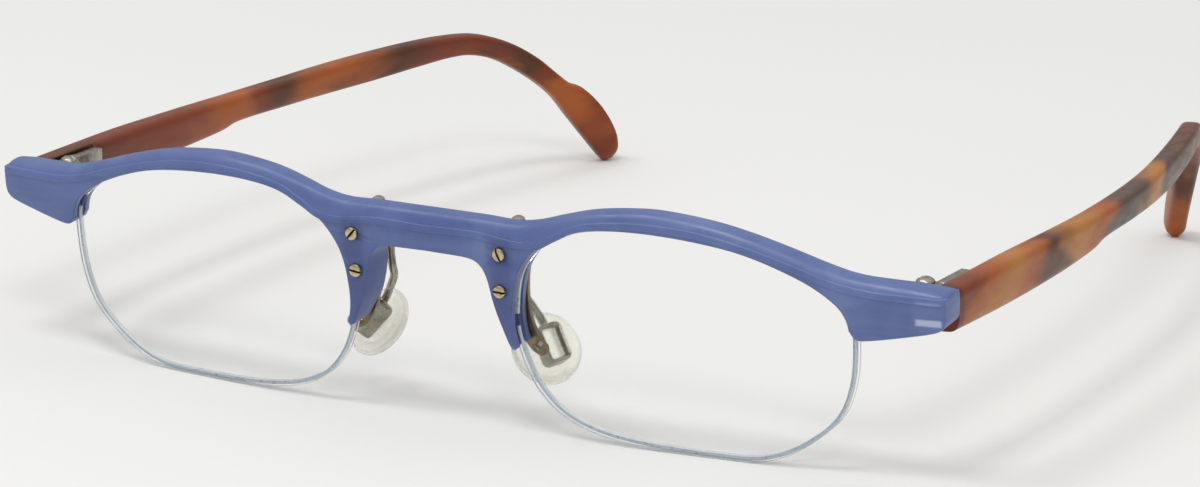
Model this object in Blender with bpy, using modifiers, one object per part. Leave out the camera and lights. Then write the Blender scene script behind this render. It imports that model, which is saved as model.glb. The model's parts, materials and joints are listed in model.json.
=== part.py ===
"""Half-rim eyeglasses: a blue plastic front, two lenses held by nylon cords, nose pads on
adjustable arms and tortoise temples on screwed hinges.

The glasses stand open on a table. +Z is up, the front faces -Y, and +X is the wearer's left.
The origin is on the table, under the middle of the glasses. Lengths below are in millimetres
and become metres when a mesh or a location is written.

The front has its own frame, held by the empty "front_pose": x runs across, d is the depth
behind the front's face and h the height in the plane of the front, from the lowest lens point.
"""
import math

import bmesh
import bpy
import numpy as np
from mathutils import Matrix, Vector

for old in list(bpy.data.objects):
    bpy.data.objects.remove(old, do_unlink=True)

MM = 0.001
SIDES = {"left": 1, "right": -1}

# Where the front and the temples stand
FRONT_LEAN = math.radians(6.0)      # the lower edge of the front lies further back
FRONT_Y = -67.41                    # foot of the front's own frame
FRONT_Z = -0.36
WRAP = 0.00134                      # the front curves back by WRAP * x * x
HINGE_X = 65.2
HINGE_Y = -56.16

# Lens, in the front's frame: outline of the wearer's left lens
LENS_OUTLINE = [
    (11.9, 17.2), (12.4, 12.4), (14.8, 6.8), (19.3, 2.8), (27.0, 0.65), (40.5, 0.0),
    (46.6, 0.4), (51.6, 2.6), (56.5, 6.8), (58.6, 11.7), (59.2, 17.5), (58.8, 21.2),
    (56.7, 23.9), (51.9, 26.7), (43.8, 29.4), (33.0, 30.6), (23.6, 30.1), (17.2, 27.6),
    (13.2, 23.1),
]
LENS_POINTS = 60
LENS_FRONT = 1.1
LENS_BACK = 2.7
EDGE_GROOVE_DEPTH = 0.62
EDGE_GROOVE = (1.56, 2.24)          # depth range of the groove round the lens edge
CORD_RADIUS = 0.25
CORD_INSET = 0.32
LINER_WIDTH = 0.46

# Front
RIM_OVERLAP = 0.45                  # how far the rim hides the lens edge
RIM_GROOVE = (0.9, 2.9)             # depth range of the groove in the rim
RIM_GROOVE_CLEARANCE = 0.3
PLATE_BACK = 4.0
EDGE_ROUND = 0.3
NOSE_SIDE = [
    (0.0, 24.2), (3.0, 24.15), (5.9, 24.05), (7.5, 23.6), (8.5, 22.5), (9.1, 20.9),
    (9.5, 19.0), (10.1, 16.9), (10.8, 15.0), (11.5, 13.2), (12.0, 12.3), (12.5, 12.1),
]
LEG_TIP_H = 12.5
END_PIECE = [
    (59.3, 18.75), (60.1, 18.45), (62.0, 18.65), (65.6, 19.3), (69.4, 20.1), (70.7, 20.7),
    (71.2, 21.6), (71.3, 23.4),
]
RIDGE = [
    (0.0, 26.9), (7.0, 27.05), (10.5, 26.7), (13.5, 26.35), (16.5, 26.7), (19.0, 28.0),
    (22.5, 29.6), (28.0, 30.5), (34.0, 30.65), (40.0, 30.1), (46.0, 28.75), (52.5, 26.75),
    (56.0, 25.5), (59.2, 24.75), (62.6, 24.3), (66.0, 24.15), (71.4, 23.9),
]
CROWN = [
    (0.0, 29.5), (8.0, 29.45), (12.5, 29.3), (16.0, 29.8), (20.0, 31.0), (24.5, 32.1),
    (30.0, 32.7), (34.0, 32.7), (40.0, 32.0), (45.0, 30.9), (50.0, 29.4), (55.0, 27.7),
    (59.0, 26.6), (64.0, 26.05), (68.0, 25.7), (71.4, 25.2),
]
# Section of the bead along the brow: depth, and height as a share from ridge to crown
BEAD_SECTION = [
    (-0.12, 0.0), (0.42, 0.5), (1.2, 0.9), (2.2, 1.0), (3.2, 0.92), (3.95, 0.55),
    (4.12, -0.08), (0.2, -0.08),
]
END_THICKER = 0.13                  # the end pieces are thicker than the rims by this share
NOSE_FLARE = 1.0                    # how far the back of each leg widens towards the nose
FLARE_SHARE = [(12.0, 0.1), (14.0, 0.4), (16.5, 1.0), (21.0, 1.0), (23.8, 0.0)]   # by height

# Bracket, pin, arm and pad behind each leg, in the front's frame
BRACKET_OUTLINE = [
    (9.2, 27.1), (12.8, 27.1), (13.3, 24.4), (12.7, 20.8), (12.6, 17.2), (13.1, 14.3),
    (14.2, 12.3), (14.9, 11.3), (14.7, 10.4), (13.8, 10.1), (12.5, 10.8), (11.2, 12.8),
    (10.2, 15.4), (9.7, 18.0), (9.2, 21.2), (9.0, 24.6),
]
BRACKET_DEPTH = (4.2, 4.8)
CORD_SLOT = (13.75, 11.6)
SCREW_PLACES = {"upper": (11.1, 25.2), "lower": (10.9, 20.1)}
SCREW_SHANK = 0.4
SCREW_HOLE = 0.56
SCREW_HEAD = 0.9
SLOT_TURNS = {"upper_left": 112, "lower_left": -3, "upper_right": 48, "lower_right": -8}
PIN_PLACE = (10.6, 6.3)             # x and depth of the vertical pin
PIN_RADIUS = 0.5
BARREL = (23.0, 27.55)
BARREL_RADIUS = 1.0
EYE = (21.75, 22.75)
ARM_PATH = [
    (10.55, 7.1, 22.3), (10.3, 7.95, 21.3), (10.1, 7.7, 19.6), (9.85, 7.5, 18.2),
    (9.9, 7.8, 16.9), (10.9, 8.3, 15.0),
]
ARM_RADIUS = 0.55
BOX_CENTRE = {"left": (13.5, 8.0, 10.3), "right": (14.3, 8.0, 10.5)}
BOX_SIZE = (3.3, 2.6, 5.3)
BOX_WALL = 0.45
# Each arm is bent by hand, so the two pads differ: turn about the front's height, how far the
# face looks down, and lean of the holder box in the pad's own plane, in degrees
PAD_TURNS = {"left": (57, 34, 4), "right": (22, 42, 20)}
PAD_BACK = 1.55                     # back of the pad, from the middle of the box
PAD_THICKNESS = 1.75
PAD_RADIUS = 4.9
STUB_CLEARANCE = 0.16

# Temple: matched points of its top and bottom edges, as (y behind the hinge pin, z)
TEMPLE_EDGES = [
    ((-1.7, 25.3), (-1.7, 19.5)), ((15.6, 25.35), (15.6, 19.25)), ((30.6, 24.95), (30.6, 19.3)),
    ((42.0, 24.6), (42.0, 19.7)), ((47.1, 24.45), (47.3, 20.35)), ((60.6, 24.3), (60.6, 20.15)),
    ((77.6, 24.4), (77.6, 20.05)), ((89.6, 24.35), (89.1, 20.4)), ((97.1, 24.05), (96.1, 20.65)),
    ((102.9, 23.3), (100.8, 20.4)), ((108.6, 21.2), (105.6, 19.0)),
    ((113.4, 18.2), (109.9, 16.6)), ((116.8, 15.1), (113.7, 13.8)),
    ((118.7, 13.4), (116.3, 11.2)), ((120.9, 12.2), (118.2, 8.4)), ((123.7, 9.0), (120.2, 5.5)),
    ((125.7, 5.2), (122.0, 2.9)), ((126.2, 2.4), (123.2, 1.2)), ((125.7, 0.6), (124.1, 0.0)),
]
# Line of the temple seen from above: y behind the pin, distance outward from the pin
TEMPLE_LINE = [
    (-6.0, 3.7), (15.0, 3.85), (30.0, 3.8), (43.0, 3.5), (58.0, 2.6), (72.0, 1.1),
    (88.0, -1.9), (101.0, -5.3), (113.0, -10.0), (124.0, -16.4), (130.0, -20.4),
]
TEMPLE_THICK = [(-6.0, 4.0), (20.0, 3.9), (50.0, 3.6), (100.0, 3.2), (118.0, 3.4), (130.0, 3.0)]
TEMPLE_BEND = {"left": -0.017, "right": 0.016}      # outward run per mm behind BEND_START
BEND_START = 10.0
TIP_ROUND = 1.8
BUTT_GAP = 0.3

# Hinge, z levels and sizes
KNUCKLES = {"top": (23.55, 24.75), "middle": (21.5, 23.45), "bottom": (20.2, 21.4)}
KNUCKLE_RADIUS = 1.4
HINGE_BORE = 0.75
HINGE_PIN_RADIUS = 0.6
HINGE_HEAD_RADIUS = 1.25
LEAF_LENGTH = 9.0
LEAF_X = (0.75, 2.25)
ANCHOR_WIDTH = 3.2
CORE_RADIUS = 0.6
CORE_BORE = 0.85
CORE_START_X = 2.95                 # the plastic covers the wire, and its bore opens into the pocket

GLASSES = bpy.data.collections.new("eyeglasses")
CUTTERS = bpy.data.collections.new("cutters")
bpy.context.scene.collection.children.link(GLASSES)
bpy.context.scene.collection.children.link(CUTTERS)


# ---------------------------------------------------------------- materials
def make_material(name, colour, roughness, metallic=0.0, transmission=0.0):
    material = bpy.data.materials.new(name)
    material.use_nodes = True
    shader = material.node_tree.nodes["Principled BSDF"]
    shader.inputs["Base Color"].default_value = (*colour, 1.0)
    shader.inputs["Roughness"].default_value = roughness
    shader.inputs["Metallic"].default_value = metallic
    shader.inputs["Transmission Weight"].default_value = transmission
    return material


BLUE = make_material("blue_plastic", (0.10, 0.16, 0.48), 0.32)
TORTOISE = make_material("tortoise_plastic", (0.36, 0.10, 0.02), 0.28)
CLEAR = make_material("clear_lens", (0.93, 0.96, 0.95), 0.02, transmission=1.0)
NYLON = make_material("nylon", (0.80, 0.84, 0.88), 0.25, transmission=0.5)
SILICONE = make_material("clear_silicone", (0.86, 0.85, 0.72), 0.3, transmission=0.6)
BRASS = make_material("pale_brass", (0.62, 0.54, 0.36), 0.28, metallic=1.0)
NICKEL = make_material("nickel_silver", (0.52, 0.50, 0.45), 0.3, metallic=1.0)


# ---------------------------------------------------------------- curves and meshes
def smooth(points, steps, closed=False):
    """Catmull-Rom curve through the points, with `steps` pieces between two of them."""
    points = [np.array(p, float) for p in points]
    count = len(points)
    spans = count if closed else count - 1
    out = []
    for i in range(spans):
        if closed:
            a, b, c, d = (points[(i + k) % count] for k in (-1, 0, 1, 2))
        else:
            a, b, c, d = (points[min(max(i + k, 0), count - 1)] for k in (-1, 0, 1, 2))
        for t in np.arange(steps) / steps:
            out.append(0.5 * (2 * b + (c - a) * t + (2 * a - 5 * b + 4 * c - d) * t ** 2
                              + (3 * b - a - 3 * c + d) * t ** 3))
    if not closed:
        out.append(points[-1])
    return out


def evenly(path, count, closed=False):
    """The path with `count` points at even distances."""
    path = np.array(path)
    if closed:
        path = np.vstack([path, path[:1]])
    lengths = np.concatenate([[0], np.cumsum(np.linalg.norm(np.diff(path, axis=0), axis=1))])
    stops = np.linspace(0, lengths[-1], count, endpoint=not closed)
    return np.column_stack([np.interp(stops, lengths, path[:, k]) for k in range(path.shape[1])])


def value_at(curve, x):
    """Height of a smooth curve, given as points of rising x, at x."""
    path = np.array(smooth(curve, 8))
    return float(np.interp(x, path[:, 0], path[:, 1]))


def grown(outline, distance):
    """A closed counter-clockwise outline moved outward by a distance."""
    outline = np.array(outline)
    along = np.roll(outline, -1, axis=0) - np.roll(outline, 1, axis=0)
    outward = np.column_stack([along[:, 1], -along[:, 0]])
    outward /= np.linalg.norm(outward, axis=1)[:, None]
    return outline + outward * distance


def new_object(name, mesh, material, parent=None, collection=GLASSES):
    obj = bpy.data.objects.new(name, mesh)
    collection.objects.link(obj)
    if material is not None:
        obj.data.materials.append(material)
    obj.parent = parent
    return obj


def solid_from_rings(name, rings, material, parent=None, collection=GLASSES, angle=35.0):
    """A closed solid through rings of equally many points, with flat ends."""
    bm = bmesh.new()
    loops = [[bm.verts.new([c * MM for c in point]) for point in ring] for ring in rings]
    count = len(loops[0])
    for low, high in zip(loops, loops[1:]):
        for i in range(count):
            j = (i + 1) % count
            bm.faces.new((low[i], low[j], high[j], high[i]))
    bm.faces.new(loops[0])
    bm.faces.new(loops[-1])
    bmesh.ops.recalc_face_normals(bm, faces=bm.faces)
    bmesh.ops.triangulate(bm, faces=[f for f in bm.faces if len(f.verts) > 4])
    mesh = bpy.data.meshes.new(name)
    bm.to_mesh(mesh)
    bm.free()
    obj = new_object(name, mesh, material, parent, collection)
    round_off(obj, angle)
    return obj


def round_off(obj, angle=35.0):
    obj.data.shade_smooth()
    obj.data.set_sharp_from_angle(angle=math.radians(angle))


def prism(name, outline, low, high, material=None, parent=None, collection=CUTTERS):
    """An outline in x and h, extruded from depth low to depth high."""
    rings = [[(x, d, h) for x, h in outline] for d in (low, high)]
    return hide_cutter(solid_from_rings(name, rings, material, parent, collection))


def box(name, low, high, material=None, parent=None, collection=CUTTERS):
    bpy.ops.mesh.primitive_cube_add(size=1)
    obj = bpy.context.object
    obj.name = name
    size = [(b - a) * MM for a, b in zip(low, high)]
    middle = [(a + b) / 2 * MM for a, b in zip(low, high)]
    obj.data.transform(Matrix.Translation(middle) @ Matrix.Diagonal((*size, 1)))
    return adopt(obj, material, parent, collection)


def cylinder(name, radius, low, high, material=None, parent=None, collection=CUTTERS, sides=16,
             centre=(0, 0)):
    """A cylinder along its own Z, from low to high."""
    bpy.ops.mesh.primitive_cylinder_add(vertices=sides, radius=radius * MM,
                                        depth=(high - low) * MM)
    obj = bpy.context.object
    obj.name = name
    obj.data.transform(Matrix.Translation((centre[0] * MM, centre[1] * MM,
                                           (low + high) / 2 * MM)))
    return adopt(obj, material, parent, collection)


def turned(name, profile, material=None, parent=None, collection=GLASSES, steps=16):
    """A turned solid about its own Z; the profile gives (radius, z) from top to bottom."""
    mesh = bpy.data.meshes.new(name)
    points = [(r * MM, 0, z * MM) for r, z in profile]
    mesh.from_pydata(points, [(i, i + 1) for i in range(len(points) - 1)], [])
    obj = new_object(name, mesh, material, parent, collection)
    screw = obj.modifiers.new("turn", "SCREW")
    screw.axis = "Z"
    screw.steps = steps
    screw.render_steps = steps
    screw.use_merge_vertices = True
    screw.merge_threshold = 0.00001
    screw.use_smooth_shade = True
    baked(obj)
    round_off(obj)
    return hide_cutter(obj) if collection is CUTTERS else obj


def adopt(obj, material, parent, collection):
    """Puts an object made by an operator into its collection, with material and parent."""
    for old_home in list(obj.users_collection):
        old_home.objects.unlink(obj)
    collection.objects.link(obj)
    if material is not None:
        obj.data.materials.append(material)
    obj.parent = parent
    round_off(obj)
    return hide_cutter(obj) if collection is CUTTERS else obj


def hide_cutter(obj):
    if CUTTERS in obj.users_collection:
        obj.hide_render = True
        obj.display_type = "WIRE"
    return obj


def wire(name, points, radius, material, parent=None, resolution=1, collection=GLASSES):
    """A round wire along points, as a curve with filled ends."""
    curve = bpy.data.curves.new(name, "CURVE")
    curve.dimensions = "3D"
    curve.bevel_depth = radius * MM
    curve.bevel_resolution = resolution
    curve.use_fill_caps = True
    spline = curve.splines.new("POLY")
    spline.points.add(len(points) - 1)
    for spot, point in zip(spline.points, points):
        spot.co = (*[c * MM for c in point], 1)
    return new_object(name, curve, material, parent, collection)


def wire_mesh(name, points, radius, parent=None, resolution=1):
    """A wire turned into a closed mesh, to cut or to join with."""
    source = wire(name + "_line", points, radius, None, parent, resolution, CUTTERS)
    bpy.context.view_layer.update()
    graph = bpy.context.evaluated_depsgraph_get()
    mesh = bpy.data.meshes.new_from_object(source.evaluated_get(graph))
    bm = bmesh.new()
    bm.from_mesh(mesh)
    bmesh.ops.remove_doubles(bm, verts=bm.verts, dist=0.000005)
    bmesh.ops.recalc_face_normals(bm, faces=bm.faces)
    bm.to_mesh(mesh)
    bm.free()
    obj = new_object(name, mesh, None, parent, CUTTERS)
    obj.matrix_local = source.matrix_local
    bpy.data.objects.remove(source, do_unlink=True)
    return hide_cutter(obj)


def combine(obj, other, operation):
    step = obj.modifiers.new(operation.lower() + "_" + other.name, "BOOLEAN")
    step.operation = operation
    step.solver = "EXACT"
    step.object = other
    return obj


def baked(obj):
    """Writes what an object's modifiers make into its own mesh."""
    bpy.context.view_layer.update()
    graph = bpy.context.evaluated_depsgraph_get()
    mesh = bpy.data.meshes.new_from_object(obj.evaluated_get(graph))
    obj.modifiers.clear()
    obj.data = mesh
    return obj


def pose_empty(name, location, rotation=(0, 0, 0), parent=None):
    empty = bpy.data.objects.new(name, None)
    empty.empty_display_size = 0.005
    GLASSES.objects.link(empty)
    empty.location = [c * MM for c in location]
    empty.rotation_euler = rotation
    empty.parent = parent
    return empty


# ---------------------------------------------------------------- shapes of the front
def wrapped_depth(x, d):
    """Depth in the front's frame of a point d behind the curved face at x."""
    swell = 1 + END_THICKER * min(max((abs(x) - 60.0) / 6.0, 0.0), 1.0)
    return d * swell + WRAP * x * x


def wrap(obj):
    for vertex in obj.data.vertices:
        x, d = vertex.co.x / MM, vertex.co.y / MM
        vertex.co.y = wrapped_depth(x, d) * MM
    return obj


def lens_outline():
    return evenly(smooth(LENS_OUTLINE, 6, closed=True), LENS_POINTS, closed=True)


def mirrored(points, side):
    """The points for one side, still counter-clockwise when they are an outline."""
    if side > 0:
        return [tuple(p) for p in points]
    return [(-p[0], *p[1:]) for p in reversed(points)]


def rim_edge():
    """Lens side of the rim, from the tip of the leg over the top to the end piece."""
    edge = grown(lens_outline(), -RIM_OVERLAP)
    upper = [p for p in edge if p[1] > LEG_TIP_H + 0.3 and (p[0] < 36 or p[1] > 19.2)]
    return sorted(upper, key=lambda p: math.atan2(p[1] - 15.0, 36.0 - p[0]))


def plate_outline():
    """Outline of the whole front plate, counter-clockwise, seen from the front."""
    half = [tuple(p) for p in evenly(smooth(NOSE_SIDE, 4), 15)]
    half += [(12.9, LEG_TIP_H)]
    half += [tuple(p) for p in rim_edge()]
    half += [tuple(p) for p in evenly(smooth(END_PIECE, 3), 10)]
    half += [(x, value_at(RIDGE, x) + 0.9) for x in np.linspace(71.2, 3.0, 24)]
    other = [(-x, h) for x, h in reversed(half[1:])]
    return half + [(0.0, value_at(RIDGE, 0) + 0.9)] + other


def flared(x, depth, h):
    """X of an outline point at a depth: the nose side of each leg widens towards its back."""
    heights, edge = [p[1] for p in reversed(NOSE_SIDE)], [p[0] for p in reversed(NOSE_SIDE)]
    if abs(abs(x) - np.interp(h, heights, edge)) > 0.7:
        return x
    share = np.interp(h, *zip(*FLARE_SHARE))
    return x - math.copysign(NOSE_FLARE * share * depth / PLATE_BACK, x)


def front_plate():
    outline = plate_outline()
    rings = []
    for depth, inset in ((0.0, EDGE_ROUND), (EDGE_ROUND, 0.0),
                         (PLATE_BACK - EDGE_ROUND, 0.0), (PLATE_BACK, EDGE_ROUND)):
        rings.append([(flared(x, depth, h), depth, h) for x, h in grown(outline, -inset)])
    return solid_from_rings("front_frame", rings, BLUE)


def brow_bead():
    """The bead along the top of the front, from one end piece to the other."""
    stations = [(x, 1.0) for x in np.linspace(-70.6, 70.6, 53)]
    ends = [(71.05, 0.8), (71.25, 0.5)]
    stations = [(-x, s) for x, s in reversed(ends)] + stations + ends
    rings = []
    for x, share in stations:
        ridge = value_at(RIDGE, abs(x))
        rise = value_at(CROWN, abs(x)) - ridge
        middle = PLATE_BACK / 2
        rings.append([(x, middle + (d - middle) * (0.75 + 0.25 * share),
                       ridge + rise * (0.4 + (up - 0.4) * share)) for d, up in BEAD_SECTION])
    bead = solid_from_rings("brow_bead", rings, None, None, CUTTERS)
    return hide_cutter(bead)


def build_front(pose):
    front = combine(front_plate(), brow_bead(), "UNION")
    for name, side in SIDES.items():
        seat = mirrored(grown(lens_outline(), RIM_GROOVE_CLEARANCE), side)
        combine(front, prism("lens_seat_" + name, seat, *RIM_GROOVE), "DIFFERENCE")
    wrap(baked(front))
    front.parent = pose
    for name, side in SIDES.items():
        for level, (x, h) in SCREW_PLACES.items():
            hole = cylinder(f"screw_hole_{level}_{name}", SCREW_HOLE, -9, 2, parent=pose)
            aim_at_depth(hole, side * x, 0, h)
            combine(front, hole, "DIFFERENCE")
    round_off(front)
    return front


def aim_at_depth(obj, x, d, h):
    """Places an object whose own Z points forward, out of the front's face."""
    obj.location = (x * MM, d * MM, h * MM)
    obj.rotation_euler = (math.radians(90), 0, 0)


def build_lens(name, side, pose):
    outline = lens_outline()
    low, high = EDGE_GROOVE
    steps = [(LENS_FRONT, 0.12), (LENS_FRONT + 0.12, 0.0), (low, 0.0), (low, EDGE_GROOVE_DEPTH),
             (high, EDGE_GROOVE_DEPTH), (high, 0.0), (LENS_BACK - 0.12, 0.0), (LENS_BACK, 0.12)]
    rings = [mirrored([(x, d, h) for x, h in grown(outline, -inset)], side)
             for d, inset in steps]
    return wrap(solid_from_rings("lens_" + name, rings, CLEAR, pose, angle=25.0))


def edge_stretch(inset, from_h, to_h, upper):
    """Part of the lens edge: the lower part, or the upper part inside the rim."""
    path = grown(lens_outline(), -inset)
    if upper:
        part = [p for p in path if (p[0] < 36 and p[1] > from_h) or (p[0] >= 36 and p[1] > to_h)]
        return sorted(part, key=lambda p: math.atan2(p[1] - 15.0, 36.0 - p[0]))
    part = [p for p in path if (p[0] < 36 and p[1] < from_h) or (p[0] >= 36 and p[1] < to_h)]
    return sorted(part, key=lambda p: math.atan2(15.0 - p[1], 36.0 - p[0]) % (2 * math.pi))


def build_cord(name, side, pose):
    """The nylon cord, in the groove round the lower edge; its ends go up into the front."""
    middle = sum(EDGE_GROOVE) / 2
    points = [(side * x, wrapped_depth(x, middle), h)
              for x, h in edge_stretch(CORD_INSET, 15.0, 21.0, upper=False)]
    return wire("nylon_cord_" + name, points, CORD_RADIUS, NYLON, pose)


def build_liner(name, side, pose):
    """The nylon liner, which holds the upper edge of the lens in the rim's groove."""
    middle = sum(EDGE_GROOVE) / 2
    half = LINER_WIDTH / 2
    inner = edge_stretch(EDGE_GROOVE_DEPTH - 0.1, 16.5, 22.5, upper=True)
    outer = edge_stretch(-RIM_GROOVE_CLEARANCE + 0.1, 16.5, 22.5, upper=True)
    count = min(len(inner), len(outer))
    rings = []
    for low, high in zip(inner[:count], outer[:count]):
        rings.append([(side * p[0], middle + d, p[1]) for p, d in
                      ((low, -half), (low, half), (high, half), (high, -half))])
    return wrap(solid_from_rings("lens_liner_" + name, rings, NYLON, pose, angle=25.0))


# ---------------------------------------------------------------- brackets, arms and pads
def build_bracket(name, side, pose):
    outline = evenly(smooth(BRACKET_OUTLINE, 3, closed=True), 30, closed=True)
    outline = mirrored(outline[::-1], side)
    rings = [[(x, d, h) for x, h in outline] for d in BRACKET_DEPTH]
    plate = wrap(solid_from_rings("bracket_plate_" + name, rings, NICKEL, pose))
    x, depth = side * PIN_PLACE[0], PIN_PLACE[1]
    barrel = cylinder("barrel_" + name, BARREL_RADIUS, *BARREL, parent=pose, centre=(x, depth))
    web = box("barrel_web_" + name, (x - 0.7, BRACKET_DEPTH[1] - 0.3, BARREL[0] + 0.05),
              (x + 0.7, depth, BARREL[1] - 0.05), parent=pose)
    bore = cylinder("barrel_bore_" + name, PIN_RADIUS + 0.15, 20, 30, parent=pose,
                    centre=(x, depth), sides=12)
    combine(plate, web, "UNION")
    combine(plate, barrel, "UNION")
    combine(plate, bore, "DIFFERENCE")
    slot = box("cord_slot_" + name, (-0.35, 3.0, -0.6), (0.35, 6.0, 0.6), parent=pose)
    slot.location = (side * CORD_SLOT[0] * MM, 0, CORD_SLOT[1] * MM)
    slot.rotation_euler = (0, math.radians(35) * side, 0)
    combine(plate, slot, "DIFFERENCE")
    for level, (sx, sh) in SCREW_PLACES.items():
        hole = cylinder(f"bracket_hole_{level}_{name}", SCREW_HOLE, -9, 1, parent=pose, sides=12)
        aim_at_depth(hole, side * sx, 0, sh)
        combine(plate, hole, "DIFFERENCE")
    return plate


def build_bracket_screw(name, level, side, pose):
    x, h = SCREW_PLACES[level]
    shank, head = SCREW_SHANK, SCREW_HEAD
    profile = [(0, 0.42), (head * 0.6, 0.4), (head * 0.9, 0.3), (head, 0.16), (head, 0.06),
               (shank, 0.0), (shank, -5.3), (0, -5.4)]
    screw = turned(f"bracket_screw_{level}_{name}", profile, BRASS, pose, steps=14)
    aim_at_depth(screw, side * x, wrapped_depth(x, 0.0) - 0.12, h)
    slot = box(f"screw_slot_{level}_{name}", (-1.2, -0.15, 0.12), (1.2, 0.15, 1.0), parent=screw)
    slot.rotation_euler = (0, 0, math.radians(SLOT_TURNS[level + "_" + name]))
    return combine(screw, slot, "DIFFERENCE")


def build_pin(name, side, pose):
    """The vertical pin with its domed head, and the nut on its lower end."""
    x, depth = side * PIN_PLACE[0], PIN_PLACE[1]
    top = BARREL[1] + 0.12
    profile = [(0, 0.75), (0.45, 0.67), (0.82, 0.42), (0.95, 0.0), (PIN_RADIUS, -0.001),
               (PIN_RADIUS, EYE[0] - 1.1 - top), (0, EYE[0] - 1.2 - top)]
    pin = turned("arm_pin_" + name, profile, NICKEL, pose, steps=14)
    pin.location = (x * MM, depth * MM, top * MM)
    nut = cylinder("arm_nut_" + name, 0.85, EYE[0] - 1.1, EYE[0] - 0.2, NICKEL, pose, GLASSES,
                   sides=6, centre=(x, depth))
    bore = cylinder("nut_bore_" + name, PIN_RADIUS + 0.1, 15, 30, parent=pose,
                    centre=(x, depth), sides=12)
    combine(nut, bore, "DIFFERENCE")
    return pin, nut


def pad_pose(name, side, pose):
    """Frame of one pad: Z runs along the holder box, Y points at the nose."""
    x, d, h = BOX_CENTRE[name]
    splay, dip, lean = (math.radians(angle) for angle in PAD_TURNS[name])
    turn = (Matrix.Rotation(side * splay, 4, "Z") @ Matrix.Rotation(-dip, 4, "X")
            @ Matrix.Rotation(-side * lean, 4, "Y"))
    return pose_empty("nose_pad_pose_" + name, (side * x, d, h), turn.to_euler(), pose)


def build_arm(name, side, pose, holder):
    """The pad arm: an eye round the pin, a looped wire and an open box for the pad."""
    half = [s / 2 for s in BOX_SIZE]
    arm = box("pad_arm_" + name, [-s for s in half], half, NICKEL, holder, GLASSES)
    edges = arm.modifiers.new("soft_edges", "BEVEL")
    edges.width = 0.3 * MM
    edges.segments = 2
    window = box("box_window_" + name, (-half[0] + BOX_WALL, -2, -half[2] + BOX_WALL),
                 (half[0] - BOX_WALL, 2, half[2] - BOX_WALL), parent=holder)
    along = holder.rotation_euler.to_matrix() @ Vector((0, 0, 1))
    route = [(side * x, d, h) for x, d, h in ARM_PATH]
    route += [tuple(holder.location / MM + along * (half[2] + up)) for up in (0.6, -0.25)]
    loop = evenly(smooth(route, 4), 20)
    strut = wire_mesh("arm_wire_" + name, loop, ARM_RADIUS, pose)
    x, depth = side * PIN_PLACE[0], PIN_PLACE[1]
    eye = cylinder("arm_eye_" + name, BARREL_RADIUS, *EYE, parent=pose, centre=(x, depth))
    bore = cylinder("eye_bore_" + name, PIN_RADIUS + 0.15, 15, 30, parent=pose,
                    centre=(x, depth), sides=12)
    combine(arm, strut, "UNION")
    combine(arm, eye, "UNION")
    combine(arm, window, "DIFFERENCE")
    combine(arm, bore, "DIFFERENCE")
    return arm


def build_pad(name, holder):
    """The clear push-in pad: a domed disc with a flat middle and a stub in the box."""
    back = PAD_BACK
    face = back + PAD_THICKNESS
    profile = [(0, face), (2.6, face), (3.7, face - 0.2), (4.5, face - 0.6),
               (PAD_RADIUS, face - 1.1), (PAD_RADIUS - 0.05, back + 0.15),
               (PAD_RADIUS - 0.5, back + 0.05), (3.6, back + 0.25), (2.9, back + 0.1), (0, back)]
    pad = turned("nose_pad_" + name, profile, SILICONE, holder, steps=22)
    pad.rotation_euler = (math.radians(-90), 0, 0)
    gap = BOX_WALL + STUB_CLEARANCE
    half_x = BOX_SIZE[0] / 2 - gap
    half_z = BOX_SIZE[2] / 2 - gap
    stub = box("pad_stub_" + name, (-half_x, -0.65, -half_z), (half_x, back + 0.5, half_z),
               parent=holder)
    edges = stub.modifiers.new("soft_edges", "BEVEL")
    edges.width = 0.25 * MM
    edges.segments = 2
    return combine(pad, stub, "UNION")


# ---------------------------------------------------------------- temples and hinges
def temple_section(top, bottom, line, thick, share, sides=12):
    """One rounded section of a temple between its top and bottom edge points."""
    ring = []
    for i in range(sides):
        angle = 2 * math.pi * (i + 0.5) / sides
        across, up = math.cos(angle), math.sin(angle)
        across = math.copysign(abs(across) ** 0.6, across)
        up = math.copysign(abs(up) ** 0.6, up)
        middle = [(a + b) / 2 for a, b in zip(top, bottom)]
        y = middle[0] + (top[0] - bottom[0]) / 2 * up
        z = middle[1] + (top[1] - bottom[1]) / 2 * up
        slope = (line(y + 0.5) - line(y - 0.5))
        normal = 1 / math.hypot(1, slope)
        reach = thick(y) / 2 * across * share
        ring.append((line(y) + reach * normal, y - reach * slope * normal, z))
    return ring


def end_piece_back(x, z):
    """Y of the back of the end piece, measured from the hinge pin."""
    d = wrapped_depth(x, PLATE_BACK)
    lean = FRONT_LEAN
    h = (z - FRONT_Z - d * math.sin(lean)) / math.cos(lean)
    return FRONT_Y + d * math.cos(lean) - h * math.sin(lean) - HINGE_Y


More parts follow.
